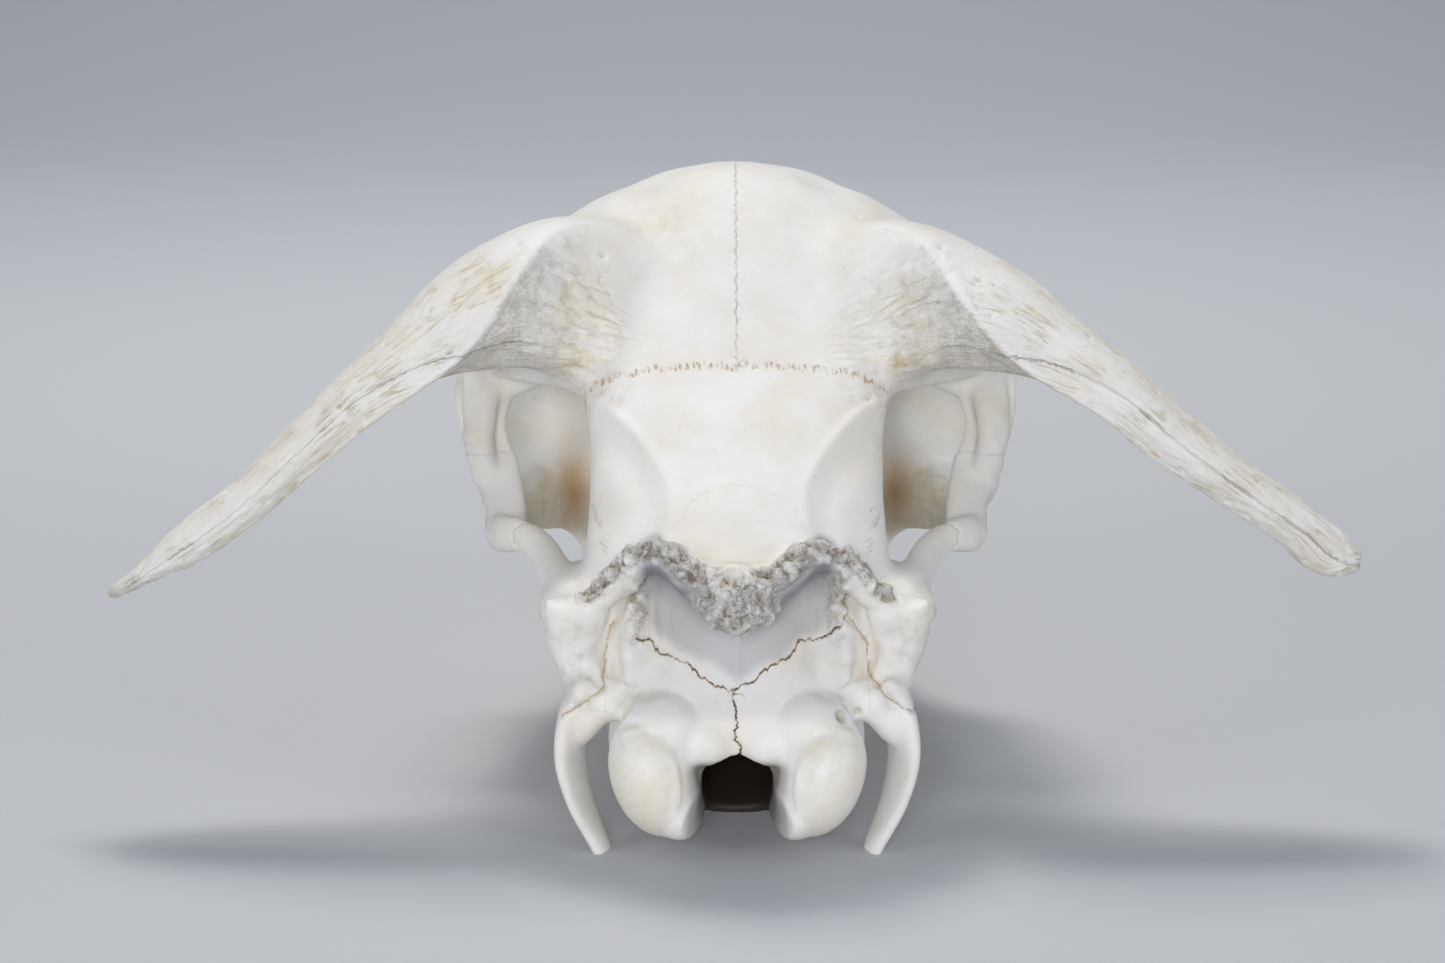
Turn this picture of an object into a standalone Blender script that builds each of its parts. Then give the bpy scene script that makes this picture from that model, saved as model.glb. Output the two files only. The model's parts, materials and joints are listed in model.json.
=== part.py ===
"""Life-size goat skull with bare horn cores, resting on its teeth and its paracondylar processes.

The bones are modelled whole, as lofts, sweeps and ellipsoids fused by a voxel remesh, and are then parted
along the sutures by thin saw cuts. Every size below is in millimetres in the skull's own frame: x to the
animal's right, y forward from the rear of the occipital condyles, z up from the floor.
"""

import math

import bmesh
import bpy
import numpy as np
from mathutils import Matrix, Vector

MM = 0.001

# Driving dimensions.
VERTEX_HEIGHT = 129.0
BRAINCASE_HALF = 31.0
ORBIT_HALF = 56.5

FUSE_VOXEL = 1.0
SMOOTH_STEPS = 5
SMOOTH_FACTOR = 0.5
SAW_KERF = 0.32
BONE_TRIANGLES = 6500

# Braincase: one oval section a level, as (height, half width, rear, widest, front).
BRAINCASE_LEVELS = (
    (8, 9, 13, 24, 40),
    (14, 15, 11, 28, 56),
    (22, 22, 10, 30, 64),
    (30, 28, 10, 31, 70),
    (40, BRAINCASE_HALF, 10.5, 33, 80),
    (50, BRAINCASE_HALF, 11.5, 37, 88),
    (58, 30.5, 12, 41, 92),
    (64, 30, 15, 45, 96),
    (70, 30, 20.5, 48, 98),
    (77, 30.5, 28, 52, 100),
    (84, 32, 36, 56, 103),
    (91, 34, 44.5, 60, 106),
    (100, 36, 54, 67, 110),
    (110, 36, 64, 76, 113),
    (118, 32.5, 74, 85, 112),
    (123, 26, 82, 91, 110),
    (126.5, 18, 88, 95, 106),
    (VERTEX_HEIGHT, 4, 96, 98, 101),
)
BRAINCASE_POWER = 2.3

# Frontal roof over the orbits: (y, half width, top, rim height).
ROOF_STATIONS = (
    (56, 36, 103, 86),
    (64, 43, 111, 86),
    (72, 51, 118, 86),
    (80, 56, 124, 87),
    (88, ORBIT_HALF, 128, 89),
    (96, 54, VERTEX_HEIGHT, 90),
    (104, 49, 127, 89),
    (112, 42, 121.5, 86),
    (120, 36, 114, 82),
    (128, 31, 106, 78),
)
ROOF_POWER = 1.85

# Snout: (y, top, half width at the top, half width at the tooth line, bottom).
SNOUT_STATIONS = (
    (62, 96, 20, 17, 30),
    (74, 108, 19, 15, 32),
    (86, 118, 19, 17, 30),
    (96, 122, 21, 21, 24),
    (104, 121, 25, 25, 20),
    (112, 117, 29, 30, 17),
    (120, 111, 28, 32, 16),
    (130, 101, 24, 31.5, 16),
    (140, 93, 20, 30, 16),
    (150, 86, 17, 27, 16),
    (160, 78.5, 15, 23.5, 16.5),
    (170, 71, 13, 18, 18),
    (178, 64, 10.5, 12, 24),
)

# Horn cores: (x, y, z, half depth, half height, keel angle, keel share, roll), angles in degrees.
KEEL_BREADTH = 22
HOLLOW_FROM_KEEL = 50
HOLLOW_BREADTH = 28
HORN_LEFT = (
    (-18, 69, 96, 20, 8, 90, 0.0, 44),
    (-27, 66.5, 100.7, 20.5, 12.0, 92, 0.04, 44),
    (-38, 63, 102.7, 18.6, 13.4, 112, 0.12, 42),
    (-47, 59.5, 101.8, 16, 12.3, 145, 0.18, 34),
    (-57, 55, 98.2, 14, 10.0, 178, 0.22, 22),
    (-66, 51, 92.8, 12.5, 7.3, 205, 0.22, 10),
    (-76, 47, 85.7, 12, 6.0, 225, 0.16, 2),
    (-88, 43, 75.0, 11, 5.2, 235, 0.10, 0),
    (-100, 39, 64.1, 9.6, 4.6, 240, 0.06, 0),
    (-112, 36, 55.7, 7.6, 4.1, 240, 0.03, 0),
    (-120, 34, 50.3, 5.2, 2.1, 240, 0.0, 0),
    (-126.4, 33, 46.4, 2.0, 1.2, 240, 0.0, 0),
)
HORN_RIGHT = (
    (-18, 69, 96, 20, 8, 90, 0.0, 44),
    (-27, 66.5, 100.4, 20.5, 11.9, 92, 0.04, 44),
    (-38, 63, 101.9, 18.6, 12.1, 112, 0.12, 42),
    (-47, 59.5, 100.9, 16, 10.6, 145, 0.18, 34),
    (-57, 55, 97.8, 14, 9.7, 178, 0.22, 22),
    (-66, 51, 93.3, 12.5, 7.6, 205, 0.22, 10),
    (-76, 47, 87.3, 12, 6.3, 225, 0.16, 2),
    (-88, 43, 77.5, 11, 5.9, 235, 0.10, 0),
    (-100, 39, 68.8, 9.6, 5.1, 240, 0.06, 0),
    (-112, 36, 60.8, 8.0, 4.8, 240, 0.03, 0),
    (-120, 34, 54.7, 6.6, 4.8, 240, 0.0, 0),
    (-125, 33, 53.4, 4.2, 2.2, 240, 0.0, 0),
)

# Paired bars and blades of the left side, as (x, y, z, half width, half thickness), with the way the width faces.
POSTORBITAL_BAR = (
    (-50, 67, 50.5, 4.6, 3.2),
    (-50.5, 72.5, 57, 4.6, 2.4),
    (-53, 77, 65, 5.4, 2.2),
    (-55.2, 79, 73, 6.0, 2.3),
    (-55, 80, 81, 7.0, 2.8),
    (-49, 80, 89, 10, 4),
    (-40, 78, 95, 11, 5),
)
ZYGOMATIC_ARCH = (
    (-32, 24, 46.5, 6, 4),
    (-35, 34, 47.5, 4.3, 3.8),
    (-37.4, 43, 48.7, 4.2, 3.5),
    (-40.2, 51, 51.0, 3.7, 3.1),
    (-45, 59, 52.4, 3.5, 2.8),
    (-50.3, 66, 51.4, 4.2, 2.8),
    (-52.6, 77, 50.4, 4.8, 2.8),
    (-52, 88, 50, 5.2, 3),
    (-49.5, 99, 49.6, 5.9, 3.4),
    (-45.4, 109, 49.2, 7.0, 4),
    (-39.5, 118, 47.7, 7.8, 5),
    (-34, 126, 42, 8.5, 6),
)
PARACONDYLAR = (
    (-28, 19, 34, 7, 4.5),
    (-31.4, 18.4, 27, 7, 3.1),
    (-32.9, 17.4, 19, 6.2, 2.3),
    (-31.1, 15.4, 10, 5.0, 1.9),
    (-27.2, 13.4, 1.5, 3.4, 1.6),
    (-26.3, 13.0, -0.6, 3.0, 1.5),
)
MASTOID = (
    (-31, 16.5, 49, 6.5, 3.5),
    (-32, 18, 43, 5.6, 4.5),
    (-30.5, 19, 36, 4.8, 5),
    (-29.5, 19.5, 29, 4.2, 5),
)
NUCHAL_CREST = (
    (0, 9.5, 53.8, 4.8, 4.2),
    (-8.5, 10.2, 55.6, 4.4, 4.0),
    (-12, 11.2, 58.8, 4.0, 3.8),
    (-15.8, 12.2, 60.0, 3.8, 3.6),
    (-18.8, 13, 59.0, 3.6, 3.5),
    (-22.4, 14.2, 56.0, 3.4, 3.3),
    (-24.8, 15.2, 52.6, 3.2, 3.1),
    (-29, 16.4, 49.4, 2.8, 2.7),
    (-35.5, 18.2, 46.8, 2.4, 2.4),
    (-37.3, 23, 46.2, 2.4, 2.4),
    (-36.6, 31, 46.8, 2.6, 2.6),
)
BASE_BAR = (
    (0, 17, 7.8, 9.5, 2.4),
    (0, 24, 10.5, 12, 4),
    (0, 36, 15, 11, 5.5),
    (0, 50, 21, 9.5, 6.5),
    (0, 66, 28, 8.5, 7),
)
ORBIT_CENTRE = (-52.5, 95, 70)
ORBIT_RADIUS = 19.5
FORAMEN_MAGNUM = (
    (0, -6, 6.0, 12.4, 11.0),
    (0, 1, 7.4, 11.0, 10.4),
    (0, 6, 9.2, 9.2, 9.2),
    (0, 12, 12.6, 7.1, 7.4),
    (0, 22, 18.5, 8.8, 8.2),
    (0, 36, 27.5, 11, 10),
)
PTERYGOID = (
    (-9.5, 62, 26, 9, 1.7),
    (-10.5, 72, 27, 9, 1.6),
    (-12, 84, 26, 9, 1.8),
    (-15, 96, 24, 8, 2.4),
    (-18, 104, 22, 7, 3),
)
PREMAXILLA_BODY = (
    (-16.5, 160, 22, 5.5, 3.4),
    (-14.8, 171, 19, 5.5, 3.0),
    (-12.4, 182, 16, 6.0, 2.4),
    (-10.4, 193, 13, 6.6, 2.1),
    (-8.9, 201, 10.8, 6.2, 2.0),
    (-7.6, 207, 9.3, 4.6, 1.7),
)
PREMAXILLA_NASAL_PROCESS = (
    (-12, 193, 15, 5.0, 1.8),
    (-13.2, 186, 25, 5.4, 1.7),
    (-13.2, 179, 37, 5.2, 1.7),
    (-12.8, 172, 49, 4.4, 1.8),
    (-12, 165, 60, 3.2, 1.8),
)
NASAL_BONE = (
    (-7.0, 118, 110, 7, 3.0),
    (-7.5, 128, 99.8, 8, 3.2),
    (-8, 140, 90.6, 8.4, 2.7),
    (-7.8, 152, 82, 8.2, 2.4),
    (-7.2, 164, 73.8, 7.6, 2.2),
    (-6.4, 176, 66, 6.6, 2.1),
    (-5.4, 186, 59.6, 4.8, 1.9),
    (-4.6, 192, 55.8, 2.6, 1.6),
)

# Hollows: (x, y, z, half width, half height).
NASAL_HOLLOW = (
    (0, 138, 54, 10.5, 24),
    (0, 155, 51, 11.5, 26),
    (0, 172, 45, 11.4, 22),
    (0, 190, 38, 10.5, 19),
    (0, 214, 30, 10.5, 13),
)
CHOANA = (
    (0, 56, 22, 6.5, 8),
    (0, 75, 24, 7.5, 8),
    (0, 92, 26, 8.5, 8),
    (0, 104, 28, 7.5, 6),
)
PALATE_VAULT = (
    (0, 92, 12, 13, 4),
    (0, 120, 12.5, 17.5, 4.5),
    (0, 145, 12.5, 15.5, 4),
    (0, 168, 13, 9, 3),
    (0, 184, 12.5, 5, 2),
)
HORN_SEAM_CENTRE = (0, 85, 75)
HORN_SEAM_RADIUS = 60.5
HORN_SEAM_AIM = (-47, -27, 26)
HORN_SEAM_SPREAD = 29

# Saw cuts as a line and two limits. The line lies across the axis that the cut runs along.
ALONG_X = (
    # Behind the nuchal crest, down to the top of the base.
    (((13, 72), (15.5, 67), (18.5, 60), (20, 52), (21, 44), (21.8, 36), (22.5, 29), (26.6, 29)), -25.6, 25.6),
    # In front of the basioccipital and over it.
    (((26, 29), (47.5, 29), (47.5, -6)), -15.2, 15.2),
    # Coronal suture.
    (((38, 101), (45, 91.5), (49.5, 85), (56, 74), (61, 64), (61.8, 49.8)), -37, 37),
    # Under the parietal.
    (((17.5, 50), (62.1, 50)), -19.7, 19.7),
    # Over the rear of the face and up its front to the root of the nose.
    (((57.5, 55), (62, 54), (80, 52), (100, 50.5), (108.3, 50.5)), -37, 37),
    (((108, 34), (108, 86.5), (118, 90), (126, 94.5), (130.5, 98), (134, 110)), -64, 64),
    # Between the lacrimal bones and the maxillae.
    (((107.8, 57), (118, 58.5), (127, 65), (132, 77), (130.3, 99.4)), -64, 64),
    # Behind the maxillae.
    (((91, -6), (91, 38), (108.2, 38)), -46, 46),
    # Under the nasal bones.
    (((129.5, 95.6), (140, 86.6), (152, 78.4), (164, 70.4), (172, 65.2), (178, 61.3), (185, 57)), -16.5, 16.5),
    # Behind the premaxillae.
    (((152, 81), (158, 72), (166, 58), (170, 44), (172, 32), (170.5, 20), (167, 4)), -30, 30),
)
ALONG_X_PAIRS = (
    # In front of the paracondylar process.
    (((26, 32), (26.2, 20), (27.5, -6)), 15, 46),
    # Over the temporal bone and down its front.
    (((18.7, 57.5), (20, 57.5), (28, 60.5), (38, 63), (50, 62), (58, 57), (63.5, 50), (67, 42), (67, 28.8)), 19.4, 46),
    (((67.2, 29), (48, 29), (48, -6)), 15, 46),
    (((26, 29), (48.2, 29)), 15, 19.8),
    # Over the mastoid part.
    (((5, 57.5), (19.5, 57.5)), 25.3, 46),
    # Through the zygomatic arch.
    (((57, 38), (58.5, 62)), 40, 58),
)
ALONG_Y_PAIRS = (
    # Under the mastoid part.
    (((25.3, 28.8), (32, 29.6), (46, 31.5)), 2, 27),
    # Through the postorbital bar.
    (((41, 67.5), (66, 67.5)), 64, 91),
)
ALONG_Z_PAIRS = (
    # Beside the occipital bone, the basioccipital and the core of the braincase.
    (((25.5, 2), (25.5, 22.8)), 28.6, 57.9),
    (((15.1, 24), (15.1, 48.2)), -6, 29.2),
    (
        ((19.6, 18.6), (19.6, 19.9), (19.6, 20.9), (19.6, 21.7), (19.6, 22.4), (19.6, 28), (19.6, 38), (19.6, 50),
         (19.6, 58), (19.6, 63.5), (19.6, 67.2)),
        (57, 52, 44, 36, 28.7, 28.7, 28.7, 28.7, 28.7, 28.7, 28.7),
        (57.8, 57.8, 58, 58.3, 58.6, 60.8, 63.3, 62.3, 57.3, 50.3, 42),
    ),
    # Beside the nasal bones.
    (((15.6, 126), (16.2, 134)), 91, 112),
    (((16.2, 133.5), (16.2, 146)), 82, 106),
    (((16.2, 145.5), (15.4, 156)), 75, 98),
    (((15.5, 155.5), (14, 166)), 68.5, 90),
    (((14.1, 165.5), (10.5, 186)), 56.6, 82),
    # Between the rear of the orbit floor and its side.
    (((38, 94), (38, 108.2)), 36, 58),
)
ALONG_Z_MIDDLE = (
    (
        ((0, 44), (0, 49.5), (0, 56), (0, 61.5), (0, 80), (0, 100), (0, 134)),
        (92.8, 84.8, 73.7, 53.2, 51.7, 50.3, 50.3),
        140,
    ),
    (((0, 107.8), (0, 186)), -6, 110),
    (((0, 90.8), (0, 108.2)), -6, 38.1),
)

# Cheek teeth of one side, rear to front: (length, buccal x, crown width, height of the biting face).
CHEEK_TEETH = (
    (19.0, 30.0, 11.0, 0.0),
    (16.5, 31.0, 12.0, 0.0),
    (14.0, 30.2, 11.5, 0.0),
    (9.2, 28.2, 10.0, 0.3),
    (8.6, 26.0, 8.8, 0.6),
    (7.4, 23.6, 7.2, 1.0),
)
TOOTH_ROW_REAR = 92.0
ALVEOLAR_HEIGHT = 16.5
TOOTH_OVERLAP = 0.25

# Relief on the fused bone: (x, y, z, reach, height).
RELIEF = (
    (13.5, 9, 50, 8, -3.0),
    (10, 10, 36, 8, 1.0),
    (21, 12, 36, 5, 1.4),
    (19, 90, 122, 6, -2.0),
    (26, 24, 66, 8, -1.0),
    (29, 140, 58, 14, -2.2),
    (38, 12.6, 44.5, 2.4, 1.4),
)
# Where the joins are rounded further: (x, y, z, reach, steps).
BLENDS = (
    (29, 66, 104, 19, 60),
    (34, 48, 88, 12, 30),
    (38, 112, 84, 12, 50),
    (30, 120, 60, 14, 30),
    (16, 14, 62, 10, 8),
    (31, 30, 50, 12, 14),
    (10, 124, 106, 14, 40),
    (34, 127, 36, 13, 40),
    (48, 108, 84, 9, 20),
)
# A point in each bone, to name it by.
BONES = (
    ("occipital", (0, 18, 30)),
    ("parietal", (0, 38, 70)),
    ("skull_base", (0, 72, 38)),
    ("frontal", (22, 84, 95)),
    ("horn_core", (82, 47, 82)),
    ("temporal", (28, 38, 42)),
    ("zygomatic", (50, 85, 54)),
    ("lacrimal", (25, 118, 76)),
    ("maxilla", (20, 135, 45)),
    ("premaxilla", (11, 184, 25)),
    ("nasal", (7.5, 155, 80)),
)
SMALLEST_BONE = 150.0

BONE_COLOUR = (0.86, 0.83, 0.77, 1.0)
TOOTH_COLOUR = (0.80, 0.73, 0.60, 1.0)


def clear_scene():
    """Removes the objects that the file opened with."""
    for obj in list(bpy.data.objects):
        bpy.data.objects.remove(obj, do_unlink=True)


def collection(name):
    """Makes a collection under the scene's own."""
    made = bpy.data.collections.new(name)
    bpy.context.scene.collection.children.link(made)
    return made


def resample(stations, count):
    """Runs a Catmull-Rom curve through the rows of a table, spaced by chord."""
    rows = np.array(stations, float)
    step = np.linalg.norm(np.diff(rows[:, : min(3, rows.shape[1])], axis=0), axis=1)
    knots = np.concatenate([[0], np.cumsum(step)])
    slopes = np.gradient(rows, knots, axis=0)
    at = np.linspace(0, knots[-1], count)
    left = np.clip(np.searchsorted(knots, at, side="right") - 1, 0, len(rows) - 2)
    span = (knots[left + 1] - knots[left])[:, None]
    t = ((at - knots[left]) / span[:, 0])[:, None]
    return (
        (2 * t**3 - 3 * t**2 + 1) * rows[left]
        + (t**3 - 2 * t**2 + t) * span * slopes[left]
        + (3 * t**2 - 2 * t**3) * rows[left + 1]
        + (t**3 - t**2) * span * slopes[left + 1]
    )


def power(value, exponent):
    """Signed power, for rounded-square outlines."""
    return math.copysign(abs(value) ** exponent, value)


def skin(name, rings, home):
    """Closes a row of rings into one solid, with a flat cap at each end."""
    bm = bmesh.new()
    loops = [[bm.verts.new(Vector(p) * MM) for p in ring] for ring in rings]
    sides = len(loops[0])
    for near, far in zip(loops, loops[1:]):
        for k in range(sides):
            n = (k + 1) % sides
            bm.faces.new((near[k], near[n], far[n], far[k]))
    bm.faces.new(list(reversed(loops[0])))
    bm.faces.new(loops[-1])
    bmesh.ops.recalc_face_normals(bm, faces=bm.faces)
    mesh = bpy.data.meshes.new(name)
    bm.to_mesh(mesh)
    bm.free()
    obj = bpy.data.objects.new(name, mesh)
    home.objects.link(obj)
    return obj


def sweep(name, stations, facing, home, sides=16, rings_apart=2.0, exponent=2.0):
    """Sweeps a flattened round section, squarer for a higher exponent, along a table of stations."""
    rows = np.array(stations, float)
    length = np.linalg.norm(np.diff(rows[:, :3], axis=0), axis=1).sum()
    path = resample(stations, max(4, int(length / rings_apart)))
    tangents = np.gradient(path[:, :3], axis=0)
    rings = []
    for row, along in zip(path, tangents):
        along = Vector(along).normalized()
        wide = Vector(facing)
        wide = (wide - along * wide.dot(along)).normalized()
        thick = along.cross(wide)
        ring = []
        for k in range(sides):
            a = 2 * math.pi * k / sides
            across = row[3] * power(math.cos(a), 2 / exponent)
            over = row[4] * power(math.sin(a), 2 / exponent)
            ring.append(Vector(row[:3]) + wide * across + thick * over)
        rings.append(ring)
    return skin(name, rings, home)


def mirrored(stations):
    """The same table for the right side."""
    return tuple((-row[0],) + tuple(row[1:]) for row in stations)


def both_sides(name, stations, facing, home, **options):
    """A sweep on the left side and its mirror image on the right."""
    sweep(name + "_left", stations, facing, home, **options)
    other = (-facing[0], facing[1], facing[2])
    sweep(name + "_right", mirrored(stations), other, home, **options)


def ellipsoid(name, centre, radii, home, turn=(0, 0, 0)):
    """A UV sphere, stretched and turned by degrees about x, y and z."""
    bm = bmesh.new()
    bmesh.ops.create_uvsphere(bm, u_segments=28, v_segments=18, radius=1.0)
    shape = Matrix.Diagonal(Vector(radii) * MM).to_4x4()
    for degrees, axis in zip(turn, "XYZ"):
        shape = Matrix.Rotation(math.radians(degrees), 4, axis) @ shape
    bmesh.ops.transform(bm, matrix=Matrix.Translation(Vector(centre) * MM) @ shape, verts=bm.verts)
    mesh = bpy.data.meshes.new(name)
    bm.to_mesh(mesh)
    bm.free()
    obj = bpy.data.objects.new(name, mesh)
    home.objects.link(obj)
    return obj


def pair_of_ellipsoids(name, centre, radii, home, turn=(0, 0, 0)):
    """An ellipsoid on the left side and its mirror image on the right."""
    ellipsoid(name + "_left", centre, radii, home, turn)
    ellipsoid(
        name + "_right",
        (-centre[0], centre[1], centre[2]),
        radii,
        home,
        (turn[0], -turn[1], -turn[2]),
    )


def braincase(home):
    """The closed vault, as oval sections stacked from the basioccipital to the vertex."""
    rings = []
    for z, half, rear, widest, front in resample(BRAINCASE_LEVELS, 70):
        ring = []
        for k in range(48):
            a = 2 * math.pi * k / 48
            x = half * power(math.cos(a), 2 / BRAINCASE_POWER)
            reach = front - widest if math.sin(a) > 0 else widest - rear
            y = widest + reach * power(math.sin(a), 2 / BRAINCASE_POWER)
            ring.append((x, y, z))
        rings.append(ring)
    skin("braincase", rings, home)


def frontal_roof(home):
    """The arched roof that reaches out over both orbits."""
    rings = []
    for y, half, top, rim in resample(ROOF_STATIONS, 40):
        ring = []
        for k in range(33):
            a = math.pi * k / 32
            ring.append(
                (
                    half * power(math.cos(a), 2 / ROOF_POWER),
                    y,
                    rim + (top - rim) * power(math.sin(a), 2 / ROOF_POWER),
                )
            )
        for k in range(1, 16):
            a = math.pi * k / 16
            ring.append((-half * math.cos(a), y, rim - 3.5 * math.sin(a) ** 0.5))
        rings.append(ring)
    skin("frontal_roof", rings, home)


def snout(home):
    """The face from between the orbits to the front of the nose."""
    rings = []
    for y, top, half_top, half_low, bottom in resample(SNOUT_STATIONS, 60):
        ring = []
        middle, reach = (top + bottom) / 2, (top - bottom) / 2
        for k in range(44):
            a = 2 * math.pi * k / 44
            up = power(math.sin(a), 2 / 2.8)
            share = (up + 1) / 2
            half = half_low + (half_top - half_low) * share**1.15
            ring.append((half * power(math.cos(a), 2 / 2.8), y, middle + reach * up))
        rings.append(ring)
    skin("snout", rings, home)


def horn_core(name, stations, side, home):
    """A bare horn core: an oval section whose keel winds from the top to the rear, with a hollow below it."""
    path = resample(stations, 64)
    tangents = np.gradient(path[:, :3], axis=0)
    rings = []
    for row, along in zip(path, tangents):
        along = Vector(along).normalized()
        rear = Vector((0, -1, 0))
        rear = (rear - along * rear.dot(along)).normalized()
        up = rear.cross(along).normalized()
        if up.z < 0:
            up = -up
        half_depth, half_height, keel, share, roll = row[3:]
        tilt = math.radians(roll)
        long_way = up * math.sin(tilt) - rear * math.cos(tilt)
        short_way = up * math.cos(tilt) + rear * math.sin(tilt)
        ring = []
        for k in range(60):
            a = 2 * math.pi * k / 60
            away = (math.degrees(a) - keel + 180) % 360 - 180
            swell = 1 + share * 1.6 * math.exp(-abs(away) / KEEL_BREADTH)
            swell -= share * 0.8 * math.exp(-(((away - HOLLOW_FROM_KEEL) / HOLLOW_BREADTH) ** 2))
            spot = (
                Vector(row[:3])
                + long_way * math.cos(a - tilt) * half_depth * swell
                + short_way * math.sin(a - tilt) * half_height * swell
            )
            spot.x *= -side
            ring.append(spot)
        rings.append(ring)
    skin(name, rings, home)


def orbit_rim(side, home):
    """The raised ring round the eye socket, open to the side and a little forward."""
    stations = []
    cx, cy, cz = ORBIT_CENTRE
    for degrees in range(-75, 226, 15):
        a = math.radians(degrees)
        forward, up = math.cos(a), math.sin(a)
        x = cx + 2.6 * max(forward, 0) - 3.5 * max(-forward, 0) + 3.0 * max(-up, 0)
        half = 3.4 + 1.4 * max(up, 0)
        stations.append(
            (
                -side * x,
                cy + (ORBIT_RADIUS + 1.5) * forward,
                cz + (ORBIT_RADIUS + 1.0) * up,
                half,
                2.6,
            )
        )
    sweep(f"orbit_rim_{'left' if side < 0 else 'right'}", stations, (side, 0, 0), home)


def build_bones(home):
    """Every solid that is fused into the bone, before the hollows are cut."""
    braincase(home)
    frontal_roof(home)
    snout(home)
    horn_core("horn_left", HORN_LEFT, -1, home)
    horn_core("horn_right", HORN_RIGHT, 1, home)
    both_sides("postorbital_bar", POSTORBITAL_BAR, (-1, 0.15, 0), home)
    both_sides("zygomatic_arch", ZYGOMATIC_ARCH, (0, 0, 1), home)
    both_sides("paracondylar", PARACONDYLAR, (0.35, 1, 0), home)
    both_sides("mastoid", MASTOID, (-1, 0, 0), home)
    both_sides("nuchal_crest", NUCHAL_CREST, (0, -1, 0.4), home)
    both_sides("pterygoid", PTERYGOID, (0, 0, 1), home)
    both_sides("premaxilla", PREMAXILLA_BODY, (1, 0, -0.15), home)
    both_sides("premaxilla_rise", PREMAXILLA_NASAL_PROCESS, (0, 1, 0.3), home)
    both_sides("nasal_bone", NASAL_BONE, (1, 0, 0.12), home)
    sweep("base_bar", BASE_BAR, (1, 0, 0), home)
    pair_of_ellipsoids("condyle", (-16.4, 10.2, 16.4), (8.2, 9.4, 12.4), home, (0, -18, 0))
    pair_of_ellipsoids("condyle_foot", (-11, 10.5, 9.6), (5.6, 8.6, 5.8), home, (0, 20, 0))
    pair_of_ellipsoids("bulla", (-20.5, 37, 17), (5.8, 9.5, 10.5), home, (0, 8, 0))
    ellipsoid("protuberance", (-0.5, 7.2, 52.8), (8.4, 4.9, 6.6), home)
    pair_of_ellipsoids("foramen_knob", (-6.4, 11.2, 22.6), (5.4, 3.7, 4.4), home, (0, 12, 0))
    pair_of_ellipsoids("exoccipital", (-15, 12, 26.5), (7.5, 6.2, 6.5), home)
    pair_of_ellipsoids("process_web", (-26, 16, 30), (6, 4.5, 4.5), home)
    pair_of_ellipsoids("process_flange", (-28.6, 16.6, 27.2), (3.6, 4.4, 7.5), home, (0, 28, 0))
    pair_of_ellipsoids("facial_tuber", (-33.5, 128, 33), (4.5, 11, 6), home)
    pair_of_ellipsoids("brow", (-47, 109, 85), (9.5, 8, 6.5), home)
    pair_of_ellipsoids("temporal_root", (-31.5, 36, 47), (8, 19, 4.6), home, (0, -10, -6))
    pair_of_ellipsoids("lacrimal_wall", (-41, 117, 67), (16, 6.5, 20), home, (0, 4, 20))
    pair_of_ellipsoids("cheek", (-31.5, 120, 51), (8.5, 9, 12), home, (0, 0, 20))
    for side in (-1, 1):
        orbit_rim(side, home)


def build_hollows(home):
    """Every opening that is cut into the fused bone."""
    pair_of_ellipsoids("orbit", (-46, 94, 69.5), (26, 17.5, 17), home, (0, 0, -10))
    pair_of_ellipsoids("temporal_gap", (-41, 66, 66), (8.5, 13, 17), home, (0, -12, 0))
    sweep("foramen_magnum", FORAMEN_MAGNUM, (1, 0, 0), home, sides=32, exponent=2.6)
    ellipsoid("brain_hollow", (0, 44, 36), (15, 17, 14), home)
    sweep("nasal_hollow", NASAL_HOLLOW, (1, 0, 0), home, sides=28)
    sweep("choana", CHOANA, (1, 0, 0), home, sides=20)
    sweep("palate_vault", PALATE_VAULT, (1, 0, 0), home, sides=20)
    pair_of_ellipsoids("ear_opening", (-33, 27, 38), (7, 3, 3), home)
    pair_of_ellipsoids("infraorbital", (-25.5, 158, 32), (3.0, 6.5, 2.4), home, (0, 0, -14))
    pair_of_ellipsoids("palatine_slot", (-5.6, 186, 15), (2.2, 13, 9), home, (0, 0, -2))


def fuse(pieces, name, home):
    """Joins the pieces of a collection into one skin by a voxel remesh."""
    bm = bmesh.new()
    for obj in pieces.objects:
        bm.from_mesh(obj.data)
    mesh = bpy.data.meshes.new(name)
    bm.to_mesh(mesh)
    bm.free()
    whole = bpy.data.objects.new(name, mesh)
    home.objects.link(whole)
    remesh(whole, FUSE_VOXEL)
    return whole


def remesh(obj, voxel):
    """Replaces an object's mesh by an even skin over it."""
    modifier = obj.modifiers.new("remesh", "REMESH")
    modifier.mode = "VOXEL"
    modifier.voxel_size = voxel * MM
    apply_modifiers(obj)


def apply_modifiers(obj):
    """Keeps what the modifiers make and drops them."""
    graph = bpy.context.evaluated_depsgraph_get()
    mesh = bpy.data.meshes.new_from_object(obj.evaluated_get(graph))
    obj.modifiers.clear()
    old = obj.data
    obj.data = mesh
    bpy.data.meshes.remove(old)


def carve(obj, cutters, solver="MANIFOLD"):
    """Takes a collection of closed cutters out of an object."""
    modifier = obj.modifiers.new("carve", "BOOLEAN")
    modifier.operation = "DIFFERENCE"
    modifier.solver = solver
    modifier.operand_type = "COLLECTION"
    modifier.collection = cutters
    apply_modifiers(obj)


def soften(obj):
    """Rounds the joins between the fused pieces."""
    modifier = obj.modifiers.new("soften", "SMOOTH")
    modifier.factor = SMOOTH_FACTOR
    modifier.iterations = SMOOTH_STEPS
    apply_modifiers(obj)


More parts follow.
